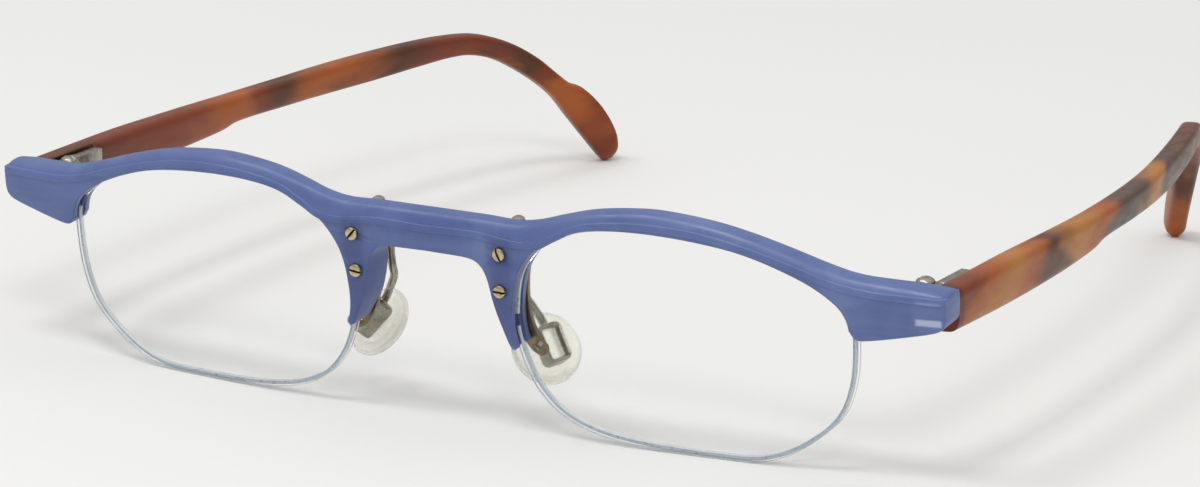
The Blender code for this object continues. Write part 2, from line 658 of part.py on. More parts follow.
def build_temple(name, side, hinge):
    line_path = np.array(smooth(TEMPLE_LINE, 6))
    thick_path = np.array(TEMPLE_THICK)

    def line(y):
        bend = TEMPLE_BEND[name] * max(y - BEND_START, 0)
        return float(np.interp(y, line_path[:, 0], line_path[:, 1])) + bend

    def thick(y):
        return float(np.interp(y, thick_path[:, 0], thick_path[:, 1]))

    edges = smooth([(*top, *bottom) for top, bottom in TEMPLE_EDGES], 2)
    tip = (edges[-1][:2] + edges[-1][2:]) / 2
    rings = []
    for edge in edges:
        from_tip = np.linalg.norm((edge[:2] + edge[2:]) / 2 - tip)
        share = math.sqrt(max(0.12, 1 - max(1 - from_tip / TIP_ROUND, 0) ** 2))
        rings.append(temple_section(edge[:2], edge[2:], line, thick, share))
    rings[0] = [(x, end_piece_back(HINGE_X + x, z) + BUTT_GAP, z) for x, y, z in rings[0]]
    rings = [[(side * x, y, z) for x, y, z in ring] for ring in rings]
    temple = solid_from_rings("temple_" + name, rings, TORTOISE, hinge, angle=50.0)

    # The core wire starts just behind the hinge leaf and runs to the middle of the temple
    core = []
    for y_top, z_top, y_low, z_low in smooth([(*t, *b) for t, b in TEMPLE_EDGES[:14]], 2):
        y, z = (y_top + y_low) / 2, (z_top + z_low) / 2
        if y > LEAF_LENGTH + 0.8:
            blend = min((y - LEAF_LENGTH) / 14.0, 1.0)
            start = CORE_START_X * (1 - blend)
            core.append((side * (start + line(y) * blend), y, z))
    z_start = sum(KNUCKLES["middle"]) / 2
    core.insert(0, (side * CORE_START_X, LEAF_LENGTH + 0.4, z_start))
    wire("temple_core_" + name, core, CORE_RADIUS, NICKEL, hinge)
    drilled = [tuple(np.array(core[0]) - (0, 1.5, 0))] + core
    drilled += [tuple(2 * np.array(core[-1]) - np.array(core[-2]))]
    combine(temple, wire_mesh("core_bore_" + name, drilled, CORE_BORE, hinge), "DIFFERENCE")
    pocket = box("leaf_pocket_" + name,
                 (-1.5, -4.0, KNUCKLES["bottom"][0] - 0.3),
                 (LEAF_X[1] + 0.25, LEAF_LENGTH + 0.3, KNUCKLES["top"][1] + 0.3), parent=hinge)
    if side < 0:
        pocket.data.transform(Matrix.Diagonal((-1, 1, 1, 1)))
        pocket.data.flip_normals()
    combine(temple, pocket, "DIFFERENCE")
    return temple


def build_hinge(name, side, hinge, front, world):
    """Both hinge leaves and the hinge screw. The temple leaf turns with the temple."""
    leaf = cylinder("hinge_temple_leaf_" + name, KNUCKLE_RADIUS, *KNUCKLES["top"], NICKEL, hinge,
                    GLASSES, sides=20)
    low_knuckle = cylinder("leaf_low_knuckle_" + name, KNUCKLE_RADIUS, *KNUCKLES["bottom"],
                           parent=hinge, sides=20)
    inner, outer = sorted((side * LEAF_X[0], side * LEAF_X[1]))
    strap = box("leaf_strap_" + name, (inner, 1.7, KNUCKLES["bottom"][0] + 0.02),
                (outer, LEAF_LENGTH, KNUCKLES["top"][1] - 0.02), parent=hinge)
    inner, outer = sorted((side * 0.05, side * (LEAF_X[1] - 0.01)))
    combine(leaf, low_knuckle, "UNION")
    combine(leaf, strap, "UNION")
    for level in ("top", "bottom"):
        low, high = KNUCKLES[level]
        lug = box(f"leaf_lug_{level}_{name}", (inner, -0.2, low + 0.04),
                  (outer, 1.9, high - 0.04), parent=hinge)
        combine(leaf, lug, "UNION")
    bore = cylinder("leaf_bore_" + name, HINGE_BORE, 15, 30, parent=hinge, sides=16)
    combine(leaf, bore, "DIFFERENCE")

    low, high = KNUCKLES["middle"]
    fixed = cylinder("hinge_front_leaf_" + name, KNUCKLE_RADIUS, low, high, NICKEL, world,
                     GLASSES, sides=20)
    back = end_piece_back(HINGE_X, 22.5)
    neck = box("front_leaf_neck_" + name, (-1.1, back - 1.0, low + 0.05),
               (1.1, -0.6, high - 0.05), parent=world)
    anchor_low, anchor_high = 20.9, 24.3
    half = ANCHOR_WIDTH / 2
    anchor = box("front_leaf_anchor_" + name, (-half, back - 2.3, anchor_low),
                 (half, back - 0.1, anchor_high), parent=world)
    combine(fixed, neck, "UNION")
    combine(fixed, anchor, "UNION")
    bore = cylinder("front_leaf_bore_" + name, HINGE_BORE, 15, 30, parent=world, sides=16)
    combine(fixed, bore, "DIFFERENCE")
    gap = 0.2
    pocket = box("anchor_pocket_" + name, (-half - gap, back - 2.3 - gap, anchor_low - gap),
                 (half + gap, back + 4.0, anchor_high + gap), parent=world)
    combine(front, pocket, "DIFFERENCE")

    top = KNUCKLES["top"][1] + 0.12
    bottom = KNUCKLES["bottom"][0] - 0.25
    radius = HINGE_HEAD_RADIUS
    profile = [(0, top + 0.85), (radius * 0.5, top + 0.78), (radius * 0.86, top + 0.52),
               (radius, top + 0.25), (radius, top), (HINGE_PIN_RADIUS, top - 0.001),
               (HINGE_PIN_RADIUS, bottom + 0.1), (HINGE_PIN_RADIUS - 0.1, bottom), (0, bottom)]
    screw = turned("hinge_screw_" + name, profile, NICKEL, world, steps=18)
    slot = box("hinge_slot_" + name, (-1.5, -0.17, top + 0.5), (1.5, 0.17, top + 2), parent=world)
    slot.rotation_euler = (0, 0, math.radians(25 * side))
    combine(screw, slot, "DIFFERENCE")


# ---------------------------------------------------------------- assembly
def build_glasses():
    front_pose = pose_empty("front_pose", (0, FRONT_Y, FRONT_Z), (FRONT_LEAN, 0, 0))
    front = build_front(front_pose)
    for name, side in SIDES.items():
        build_lens(name, side, front_pose)
        build_cord(name, side, front_pose)
        build_liner(name, side, front_pose)
        build_bracket(name, side, front_pose)
        for level in SCREW_PLACES:
            build_bracket_screw(name, level, side, front_pose)
        build_pin(name, side, front_pose)
        holder = pad_pose(name, side, front_pose)
        build_arm(name, side, front_pose, holder)
        build_pad(name, holder)
        place = (side * HINGE_X, HINGE_Y, 0)
        temple_pose = pose_empty("temple_hinge_" + name, place)
        screw_pose = pose_empty("hinge_place_" + name, place)
        build_temple(name, side, temple_pose)
        build_hinge(name, side, temple_pose, front, screw_pose)


build_glasses()
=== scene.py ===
"""The eyeglasses as they look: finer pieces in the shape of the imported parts, with their
materials, on a pale table in soft light.

Lengths are in millimetres and become metres when a mesh or a location is written. The front
has its own frame: x across, d the depth behind its face, h the height in its own plane.
"""

import json
import math

import bmesh
import bpy
import numpy as np
from mathutils import Matrix, Vector

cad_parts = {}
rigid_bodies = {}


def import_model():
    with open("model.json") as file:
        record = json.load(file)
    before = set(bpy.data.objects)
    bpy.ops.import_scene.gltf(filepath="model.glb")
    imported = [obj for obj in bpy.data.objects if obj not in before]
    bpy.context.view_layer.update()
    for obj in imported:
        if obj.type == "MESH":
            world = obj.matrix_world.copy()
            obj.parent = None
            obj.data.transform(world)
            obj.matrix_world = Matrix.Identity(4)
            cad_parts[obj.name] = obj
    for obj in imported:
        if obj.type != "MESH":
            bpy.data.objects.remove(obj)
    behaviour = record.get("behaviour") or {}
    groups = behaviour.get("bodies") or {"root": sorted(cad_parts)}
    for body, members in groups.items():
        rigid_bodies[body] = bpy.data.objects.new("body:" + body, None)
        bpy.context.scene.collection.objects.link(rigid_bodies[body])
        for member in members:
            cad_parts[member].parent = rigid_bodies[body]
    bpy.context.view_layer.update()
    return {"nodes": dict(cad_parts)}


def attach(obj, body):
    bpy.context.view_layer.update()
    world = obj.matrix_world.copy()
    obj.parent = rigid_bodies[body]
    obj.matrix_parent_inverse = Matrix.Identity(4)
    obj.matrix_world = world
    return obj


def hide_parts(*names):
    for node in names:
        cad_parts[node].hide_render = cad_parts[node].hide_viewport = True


for old in list(bpy.data.objects):
    bpy.data.objects.remove(old, do_unlink=True)

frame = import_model()

MM = 0.001
SIDES = {"left": 1, "right": -1}

# Where the front and the temples stand
FRONT_LEAN = math.radians(6.0)      # the lower edge of the front lies further back
FRONT_Y = -67.41                    # foot of the front's own frame
FRONT_Z = -0.36
WRAP = 0.00134                      # the front curves back by WRAP * x * x
HINGE_X = 65.2
HINGE_Y = -56.16

# Lens, in the front's frame: outline of the wearer's left lens
LENS_OUTLINE = [
    (11.9, 17.2), (12.4, 12.4), (14.8, 6.8), (19.3, 2.8), (27.0, 0.65), (40.5, 0.0),
    (46.6, 0.4), (51.6, 2.6), (56.5, 6.8), (58.6, 11.7), (59.2, 17.5), (58.8, 21.2),
    (56.7, 23.9), (51.9, 26.7), (43.8, 29.4), (33.0, 30.6), (23.6, 30.1), (17.2, 27.6),
    (13.2, 23.1),
]
LENS_POINTS = 220
LENS_MIDDLE = (36.0, 15.0)
LENS_CHAMFER = 0.12
# Heights on the nose side and on the outer side
BARE_EDGE = (13.0, 19.3)            # the edge is bare below these
CORD_ENDS = (15.0, 21.0)
LINER_ENDS = (16.5, 22.5)
LENS_FRONT = 1.1
LENS_BACK = 2.7
EDGE_GROOVE_DEPTH = 0.62
EDGE_GROOVE = (1.56, 2.24)          # depth range of the groove round the lens edge
CORD_RADIUS = 0.25
CORD_INSET = 0.32
LINER_WIDTH = 0.46
DETAIL = 2                          # times as many sides on turned and round pieces
WIRE_DETAIL = 4                     # bevel resolution of a round wire

# Front
RIM_OVERLAP = 0.45                  # how far the rim hides the lens edge
RIM_GROOVE = (0.9, 2.9)             # depth range of the groove in the rim
RIM_GROOVE_CLEARANCE = 0.3
PLATE_BACK = 4.0
EDGE_ROUND = 0.3
NOSE_SIDE = [
    (0.0, 24.2), (3.0, 24.15), (5.9, 24.05), (7.5, 23.6), (8.5, 22.5), (9.1, 20.9),
    (9.5, 19.0), (10.1, 16.9), (10.8, 15.0), (11.5, 13.2), (12.0, 12.3), (12.5, 12.1),
]
LEG_TIP_H = 12.5
RIM_ENDS = (LEG_TIP_H + 0.3, 19.2)
BEAD_SUNK = 0.9                     # how far the plate reaches up into the bead
END_PIECE = [
    (59.3, 18.75), (60.1, 18.45), (62.0, 18.65), (65.6, 19.3), (69.4, 20.1), (70.7, 20.7),
    (71.2, 21.6), (71.3, 23.4),
]
RIDGE = [
    (0.0, 26.9), (7.0, 27.05), (10.5, 26.7), (13.5, 26.35), (16.5, 26.7), (19.0, 28.0),
    (22.5, 29.6), (28.0, 30.5), (34.0, 30.65), (40.0, 30.1), (46.0, 28.75), (52.5, 26.75),
    (56.0, 25.5), (59.2, 24.75), (62.6, 24.3), (66.0, 24.15), (71.4, 23.9),
]
CROWN = [
    (0.0, 29.5), (8.0, 29.45), (12.5, 29.3), (16.0, 29.8), (20.0, 31.0), (24.5, 32.1),
    (30.0, 32.7), (34.0, 32.7), (40.0, 32.0), (45.0, 30.9), (50.0, 29.4), (55.0, 27.7),
    (59.0, 26.6), (64.0, 26.05), (68.0, 25.7), (71.4, 25.2),
]
# Section of the bead along the brow: depth, and height as a share from ridge to crown
BEAD_SECTION = [
    (0.02, -0.05), (-0.10, -0.02), (-0.13, 0.03), (-0.08, 0.09), (0.10, 0.25), (0.26, 0.38),
    (0.42, 0.49), (0.56, 0.60), (0.76, 0.72), (1.02, 0.84), (1.4, 0.93), (1.8, 0.98),
    (2.2, 1.0), (2.6, 0.99), (3.0, 0.95), (3.35, 0.88), (3.65, 0.77), (3.88, 0.62),
    (4.02, 0.45), (4.09, 0.25), (4.12, 0.0), (4.12, -0.1), (0.2, -0.1),
]
END_THICKER = 0.13                  # the end pieces are thicker than the rims by this share
NOSE_FLARE = 1.0                    # how far the back of each leg widens towards the nose
FLARE_SHARE = [(12.0, 0.1), (14.0, 0.4), (16.5, 1.0), (21.0, 1.0), (23.8, 0.0)]   # by height

# Bracket, pin, arm and pad behind each leg, in the front's frame
BRACKET_OUTLINE = [
    (9.2, 27.1), (12.8, 27.1), (13.3, 24.4), (12.7, 20.8), (12.6, 17.2), (13.1, 14.3),
    (14.2, 12.3), (14.9, 11.3), (14.7, 10.4), (13.8, 10.1), (12.5, 10.8), (11.2, 12.8),
    (10.2, 15.4), (9.7, 18.0), (9.2, 21.2), (9.0, 24.6),
]
BRACKET_DEPTH = (4.2, 4.8)
CORD_SLOT = (13.75, 11.6)
SCREW_PLACES = {"upper": (11.1, 25.2), "lower": (10.9, 20.1)}
SCREW_SHANK = 0.4
SCREW_HOLE = 0.56
SCREW_HEAD = 0.9
SLOT_TURNS = {"upper_left": 112, "lower_left": -3, "upper_right": 48, "lower_right": -8}
PIN_PLACE = (10.6, 6.3)             # x and depth of the vertical pin
PIN_RADIUS = 0.5
BARREL = (23.0, 27.55)
BARREL_RADIUS = 1.0
EYE = (21.75, 22.75)
ARM_PATH = [
    (10.55, 7.1, 22.3), (10.3, 7.95, 21.3), (10.1, 7.7, 19.6), (9.85, 7.5, 18.2),
    (9.9, 7.8, 16.9), (10.9, 8.3, 15.0),
]
ARM_RADIUS = 0.55
BOX_CENTRE = {"left": (13.5, 8.0, 10.3), "right": (14.3, 8.0, 10.5)}
BOX_SIZE = (3.3, 2.6, 5.3)
BOX_WALL = 0.45
BOX_CORNER = 0.85
# Each arm is bent by hand, so the two pads differ: turn about the front's height, how far the
# face looks down, and lean of the holder box in the pad's own plane, in degrees
PAD_TURNS = {"left": (57, 34, 4), "right": (22, 42, 20)}
PAD_BACK = 1.55                     # back of the pad, from the middle of the box
PAD_THICKNESS = 1.75
PAD_RADIUS = 4.9
STUB_CLEARANCE = 0.16

# Temple: matched points of its top and bottom edges, as (y behind the hinge pin, z)
TEMPLE_EDGES = [
    ((-1.7, 25.3), (-1.7, 19.5)), ((15.6, 25.35), (15.6, 19.25)), ((30.6, 24.95), (30.6, 19.3)),
    ((42.0, 24.6), (42.0, 19.7)), ((47.1, 24.45), (47.3, 20.35)), ((60.6, 24.3), (60.6, 20.15)),
    ((77.6, 24.4), (77.6, 20.05)), ((89.6, 24.35), (89.1, 20.4)), ((97.1, 24.05), (96.1, 20.65)),
    ((102.9, 23.3), (100.8, 20.4)), ((108.6, 21.2), (105.6, 19.0)),
    ((113.4, 18.2), (109.9, 16.6)), ((116.8, 15.1), (113.7, 13.8)),
    ((118.7, 13.4), (116.3, 11.2)), ((120.9, 12.2), (118.2, 8.4)), ((123.7, 9.0), (120.2, 5.5)),
    ((125.7, 5.2), (122.0, 2.9)), ((126.2, 2.4), (123.2, 1.2)), ((125.7, 0.6), (124.1, 0.0)),
]
# Line of the temple seen from above: y behind the pin, distance outward from the pin
TEMPLE_LINE = [
    (-6.0, 3.7), (15.0, 3.85), (30.0, 3.8), (43.0, 3.5), (58.0, 2.6), (72.0, 1.1),
    (88.0, -1.9), (101.0, -5.3), (113.0, -10.0), (124.0, -16.4), (130.0, -20.4),
]
TEMPLE_THICK = [(-6.0, 4.0), (20.0, 3.9), (50.0, 3.6), (100.0, 3.2), (118.0, 3.4), (130.0, 3.0)]
TEMPLE_BEND = {"left": -0.017, "right": 0.016}      # outward run per mm behind BEND_START
BEND_START = 10.0
TIP_ROUND = 1.8
BUTT_GAP = 0.3

# Hinge, z levels and sizes
KNUCKLES = {"top": (23.55, 24.75), "middle": (21.5, 23.45), "bottom": (20.2, 21.4)}
KNUCKLE_RADIUS = 1.4
HINGE_BORE = 0.75
HINGE_PIN_RADIUS = 0.6
HINGE_HEAD_RADIUS = 1.25
LEAF_LENGTH = 9.0
LEAF_X = (0.75, 2.25)
ANCHOR_WIDTH = 3.2
ANCHOR_LEVELS = (20.9, 24.3)
ANCHOR_DEPTH = 2.3                  # how far the anchor goes into the end piece
ANCHOR_GAP = 0.2

GLASSES = bpy.data.collections.new("looks")
CUTTERS = bpy.data.collections.new("cutters")
bpy.context.scene.collection.children.link(GLASSES)
bpy.context.scene.collection.children.link(CUTTERS)


# -------- materials
class Paint:
    """A Principled material and its nodes."""

    def __init__(self, name, colour, roughness, **sockets):
        self.material = bpy.data.materials.new(name)
        self.material.use_nodes = True
        self.tree = self.material.node_tree
        self.shader = self.tree.nodes["Principled BSDF"]
        self.shader.inputs["Base Color"].default_value = (*colour, 1.0)
        self.shader.inputs["Roughness"].default_value = roughness
        for socket, value in sockets.items():
            self.shader.inputs[socket.replace("_", " ")].default_value = value
        self.place = self.add("ShaderNodeTexCoord").outputs["Object"]

    def add(self, kind, links=None, values=None, **settings):
        node = self.tree.nodes.new(kind)
        for key, value in settings.items():
            setattr(node, key, value)
        for key, value in (values or {}).items():
            node.inputs[key].default_value = value
        for key, source in (links or {}).items():
            self.tree.links.new(source, node.inputs[key])
        return node

    def math(self, operation, a, b=0.0, c=0.0):
        node = self.add("ShaderNodeMath", operation=operation)
        for spot, value in zip(node.inputs, (a, b, c)):
            if isinstance(value, (int, float)):
                spot.default_value = value
            else:
                self.tree.links.new(value, spot)
        return node.outputs[0]

    def noise(self, scale, detail=2.0, stretch=(1, 1, 1), turn=(0, 0, 0), warp=0.0, rough=0.5):
        mapped = self.add("ShaderNodeMapping", {"Vector": self.place},
                          {"Scale": stretch, "Rotation": turn})
        return self.add("ShaderNodeTexNoise", {"Vector": mapped.outputs[0]},
                        {"Scale": scale, "Detail": detail, "Distortion": warp,
                         "Roughness": rough}).outputs["Fac"]

    def ramp(self, source, stops):
        node = self.add("ShaderNodeValToRGB", {"Fac": source})
        ramp = node.color_ramp
        ramp.interpolation = "EASE"
        while len(ramp.elements) < len(stops):
            ramp.elements.new(0.5)
        for element, (at, colour) in zip(ramp.elements, stops):
            element.position = at
            element.color = (*colour, 1.0)
        return node.outputs["Color"]

    def between(self, source, low, high, to_low=0.0, to_high=1.0):
        return self.add("ShaderNodeMapRange", {"Value": source},
                        {"From Min": low, "From Max": high, "To Min": to_low,
                         "To Max": to_high}, interpolation_type="SMOOTHSTEP").outputs[0]

    def mix(self, share, a, b, blend="MIX"):
        node = self.add("ShaderNodeMix", data_type="RGBA", blend_type=blend)
        for index, value in ((0, share), (6, a), (7, b)):
            if isinstance(value, (int, float)):
                node.inputs[index].default_value = value
            elif isinstance(value, tuple):
                node.inputs[index].default_value = (*value, 1.0)
            else:
                self.tree.links.new(value, node.inputs[index])
        return node.outputs[2]

    def set(self, socket, source):
        self.tree.links.new(source, self.shader.inputs[socket])
        return self

    def bump(self, source, strength, distance_mm=0.02):
        node = self.add("ShaderNodeBump", {"Height": source},
                        {"Strength": strength, "Distance": distance_mm * MM})
        return self.set("Normal", node.outputs[0])

    def finish(self, colour, grain, smoothest, roughest, strength):
        """Colour, and one grain for both the uneven gloss and the bump."""
        self.set("Base Color", colour)
        self.set("Roughness", self.between(grain, 0.3, 0.7, smoothest, roughest))
        return self.bump(grain, strength).material


# Painted shade of the brackets behind the legs and painted glints of one hinge anchor in the end
# piece,
# in metres: its middle, full reach and faded reach across and upwards, how much it shows, and its
# colour
BRACKET_SHADE_PATCH = ((0.0111, 0.0008, 0.0026), (0.0195, 0.0062, 0.0092), 0.62, (0.040, 0.058, 0.190))
ANCHOR_GLINT_PATCHES = [
    ((0.0690, 0.0014, 0.0026), (0.0226, 0.0010, 0.0028), 0.25, (0.16, 0.21, 0.42)),
    ((0.0691, 0.0012, 0.0018), (0.0244, 0.0001, 0.0003), 0.30, (0.30, 0.35, 0.56)),
    ((0.0691, 0.0014, 0.0019), (0.0218, 0.00025, 0.0006), 0.75, (0.50, 0.55, 0.72)),
]


def blue_plastic():
    """Satin, slightly cloudy plastic, with painted shade where the brackets lie behind it and
    painted glints where one hinge anchor lies in it.
    """
    paint = Paint("blue_plastic", (0.09, 0.13, 0.34), 0.36, IOR=1.48, Coat_Weight=0.05,
                  Coat_Roughness=0.25, Subsurface_Weight=0.08, Subsurface_Scale=0.0008,
                  Subsurface_Radius=(0.5, 0.6, 1.0))
    cloud = paint.noise(110, 4, (1, 1, 1.6), warp=0.6)
    tint = paint.ramp(cloud, [(0.3, (0.070, 0.108, 0.285)), (0.55, (0.094, 0.138, 0.330)),
                              (0.75, (0.126, 0.176, 0.375))])
    streak = paint.noise(60, 4, (0.5, 1, 9), (0, 0.06, 0), warp=0.4)
    tint = paint.mix(paint.between(streak, 0.45, 0.75, 0, 0.45), tint, (0.135, 0.178, 0.375))
    across = paint.add("ShaderNodeSeparateXYZ", {"Vector": paint.place})
    side, z = across.outputs["X"], across.outputs["Z"]
    x = paint.math("ABSOLUTE", side)
    forward = paint.between(across.outputs["Y"], -0.0585, -0.0600)      # only the front face

    def spot(source, middle, inner, outer):
        off = paint.math("ABSOLUTE", paint.math("SUBTRACT", source, middle))
        return paint.between(off, outer, inner)

    def patch(source, wide, high):
        return paint.math("MULTIPLY", spot(source, *wide), spot(z, *high))

    # Painted shade on the legs where the brackets lie behind them
    wave = paint.math("MULTIPLY_ADD", paint.noise(500, 2), 0.0016,
                      paint.math("SUBTRACT", x, 0.0008))
    wide, high, weight, shade = BRACKET_SHADE_PATCH
    tint = paint.mix(paint.math("MULTIPLY", patch(wave, wide, high), weight), tint, shade)
    # Painted glints on the front face of one end piece, where the hinge anchor lies in it
    for wide, high, weight, glint_colour in ANCHOR_GLINT_PATCHES:
        lit = paint.math("MULTIPLY", patch(side, wide, high), forward)
        tint = paint.mix(paint.math("MULTIPLY", lit, weight), tint, glint_colour)
    speckle = paint.noise(3200, 3, rough=0.7)
    wear = paint.noise(420, 5, (0.4, 1, 1), warp=1.0)
    paint.set("Base Color", paint.mix(paint.between(speckle, 0.45, 0.8, 0, 0.08), tint,
                                      (0.20, 0.25, 0.46)))
    paint.set("Roughness", paint.between(wear, 0.3, 0.7, 0.30, 0.42))
    return paint.bump(speckle, 0.10).material


def tortoise_plastic(name, stops, seed):
    """Cellulose acetate: amber and dark brown clouds that lie at a slant along the temple."""
    paint = Paint(name, (0.36, 0.12, 0.03), 0.3, IOR=1.5, Specular_IOR_Level=0.3,
                  Coat_Weight=0.04, Coat_Roughness=0.2, Subsurface_Weight=0.08,
                  Subsurface_Scale=0.0012, Subsurface_Radius=(1.0, 0.35, 0.1))
    parts = paint.add("ShaderNodeSeparateXYZ", {"Vector": paint.place})
    slant = paint.math("MULTIPLY_ADD", parts.outputs["Z"], -0.9, parts.outputs["Y"])
    drift = paint.noise(70, 3, (1, 0.5, 1.6), (seed, seed * 0.7, 0), warp=1.2)
    along = paint.math("MULTIPLY_ADD", paint.math("SUBTRACT", drift, 0.5), 0.026, slant)
    share = paint.add("ShaderNodeMapRange", {"Value": along},
                      {"From Min": BANDS_START, "From Max": BANDS_END}).outputs[0]
    bands = paint.ramp(share, stops)
    streak = paint.noise(150, 5, (1.2, 0.25, 1.2), (0.5, seed, 0.1), warp=1.4, rough=0.6)
    colour = paint.mix(paint.between(streak, 0.54, 0.74, 0, 0.45), bands, (0.330, 0.098, 0.016))
    dark = paint.noise(90, 4, (1.3, 0.3, 1.3), (0.6, seed + 2.0, 0.2), warp=1.0)
    colour = paint.mix(paint.between(dark, 0.54, 0.74, 0, 0.6), colour, (0.060, 0.022, 0.014))
    butt_shade = paint.between(parts.outputs["Y"], -0.0562, -0.0572)          # painted shade of the gap behind the end piece, at the front end
    colour = paint.mix(paint.math("MULTIPLY", butt_shade, 0.8), colour, (0.10, 0.008, 0.006))
    fine = paint.noise(900, 3, (1, 0.3, 1))
    return paint.finish(colour, fine, 0.30, 0.42, 0.05)


BANDS_START = -0.078                # Y of the first and the last colour band, in metres
BANDS_END = 0.072
RED_BROWN = (0.190, 0.034, 0.009)
ORANGE = (0.360, 0.088, 0.014)
AMBER = (0.440, 0.170, 0.030)
BROWN = (0.090, 0.027, 0.011)
SLATE = (0.090, 0.052, 0.038)


def metal(name, colour, roughness, grain=(1, 1, 1)):
    """Drawn or pressed metal with a fine grain and dull patches."""
    paint = Paint(name, colour, roughness, Metallic=1.0)
    brushed = paint.noise(2400, 4, grain, rough=0.65)
    patches = paint.noise(700, 4, warp=0.8)
    dull = tuple(c * 0.62 for c in colour)
    paint.set("Base Color", paint.mix(paint.between(patches, 0.42, 0.7, 0, 0.7), colour, dull))
    paint.set("Roughness", paint.between(brushed, 0.25, 0.75, roughness - 0.08,
                                         roughness + 0.16))
    return paint.bump(brushed, 0.12, 0.01).material


def clear_lens():
    """Polished faces, with a faint haze that shows only in the gloss."""
    paint = Paint("clear_lens", (0.97, 0.985, 0.98), 0.0, IOR=1.02, Transmission_Weight=1.0,
                  Coat_Weight=1.0, Coat_Roughness=0.0, Alpha=0.28)
    haze = paint.noise(160, 5, warp=2.0)
    paint.set("Roughness", paint.between(haze, 0.35, 0.8, 0.0, 0.05))
    return paint.material


def ground_edge():
    """The ground edge of a lens: pale and cloudy, with fine grinding marks."""
    paint = Paint("ground_edge", (0.62, 0.67, 0.72), 0.4, IOR=1.4, Transmission_Weight=0.25)
    marks = paint.noise(2200, 3, (0.3, 1, 0.3))
    colour = paint.mix(marks, (0.56, 0.62, 0.69), (0.72, 0.76, 0.79))
    return paint.finish(colour, marks, 0.25, 0.45, 0.15)


def nylon():
    paint = Paint("nylon", (0.62, 0.68, 0.76), 0.3, IOR=1.45, Transmission_Weight=0.2)
    wave = paint.noise(900, 3)
    colour = paint.mix(wave, (0.54, 0.60, 0.68), (0.70, 0.75, 0.80))
    return paint.finish(colour, wave, 0.25, 0.42, 0.05)


def clear_silicone():
    """Soft clear plastic, a little yellow with age and cloudy towards the middle."""
    paint = Paint("clear_silicone", (0.93, 0.91, 0.80), 0.18, IOR=1.41,
                  Transmission_Weight=0.9, Alpha=0.55)
    cloud = paint.noise(380, 4, warp=0.6)
    fine = paint.noise(2600, 3)
    colour = paint.ramp(cloud, [(0.3, (0.96, 0.95, 0.84)), (0.7, (0.90, 0.87, 0.68))])
    return paint.finish(colour, fine, 0.10, 0.28, 0.08)


BLUE = blue_plastic()
TORTOISE = {
    "left": tortoise_plastic("tortoise_left", [
        (0.00, RED_BROWN), (0.05, ORANGE), (0.10, AMBER), (0.15, ORANGE), (0.20, BROWN),
        (0.25, AMBER), (0.31, ORANGE), (0.36, SLATE), (0.42, SLATE), (0.48, AMBER),
        (0.53, SLATE), (0.62, BROWN), (0.72, RED_BROWN), (0.84, BROWN), (0.94, ORANGE)], 0.3),
    "right": tortoise_plastic("tortoise_right", [
        (0.00, BROWN), (0.08, RED_BROWN), (0.20, RED_BROWN), (0.30, ORANGE), (0.36, RED_BROWN),
        (0.42, BROWN), (0.48, ORANGE), (0.55, BROWN), (0.62, RED_BROWN), (0.70, RED_BROWN),
        (0.78, BROWN), (0.83, RED_BROWN), (0.875, ORANGE), (0.93, RED_BROWN),
        (0.98, ORANGE)], 1.1),
}
CLEAR = clear_lens()
EDGE = ground_edge()
NYLON = nylon()
SILICONE = clear_silicone()
BRASS = metal("pale_brass", (0.60, 0.51, 0.31), 0.30)
NICKEL = metal("nickel_silver", (0.40, 0.37, 0.32), 0.27, (0.3, 1, 1))
BRONZE = metal("toned_bracket", (0.25, 0.19, 0.12), 0.34, (1, 1, 0.3))
# Painted shade: a near-black metal for the faces that the screw slots cut
SLOT_SHADE = metal("slot_shade", (0.05, 0.035, 0.02), 0.6)


# -------- curves and meshes
def smooth(points, steps, closed=False):
    """Catmull-Rom curve through the points, with `steps` pieces between two of them."""
    points = [np.array(p, float) for p in points]
    count = len(points)
    spans = count if closed else count - 1
    out = []
    for i in range(spans):
        if closed:
            a, b, c, d = (points[(i + k) % count] for k in (-1, 0, 1, 2))
        else:
            a, b, c, d = (points[min(max(i + k, 0), count - 1)] for k in (-1, 0, 1, 2))
        for t in np.arange(steps) / steps:
            out.append(0.5 * (2 * b + (c - a) * t + (2 * a - 5 * b + 4 * c - d) * t ** 2
                              + (3 * b - a - 3 * c + d) * t ** 3))
    if not closed:
        out.append(points[-1])
    return out


def evenly(path, count, closed=False):
    """The path with `count` points at even distances."""
    path = np.array(path)
    if closed:
        path = np.vstack([path, path[:1]])
    lengths = np.concatenate([[0], np.cumsum(np.linalg.norm(np.diff(path, axis=0), axis=1))])
    stops = np.linspace(0, lengths[-1], count, endpoint=not closed)
    return np.column_stack([np.interp(stops, lengths, path[:, k]) for k in range(path.shape[1])])


def value_at(curve, x):
    """Height of a smooth curve, given as points of rising x, at x."""
    path = np.array(smooth(curve, 8))
    return float(np.interp(x, path[:, 0], path[:, 1]))


def grown(outline, distance):
    """A closed counter-clockwise outline moved outward by a distance."""
    outline = np.array(outline)
    along = np.roll(outline, -1, axis=0) - np.roll(outline, 1, axis=0)
    outward = np.column_stack([along[:, 1], -along[:, 0]])
    outward /= np.linalg.norm(outward, axis=1)[:, None]
    return outline + outward * distance


def new_object(name, mesh, material=None, parent=None, collection=GLASSES):
    obj = bpy.data.objects.new(name, mesh)
    collection.objects.link(obj)
    if material is not None:
        obj.data.materials.append(material)
    obj.parent = parent
    return hide_cutter(obj)


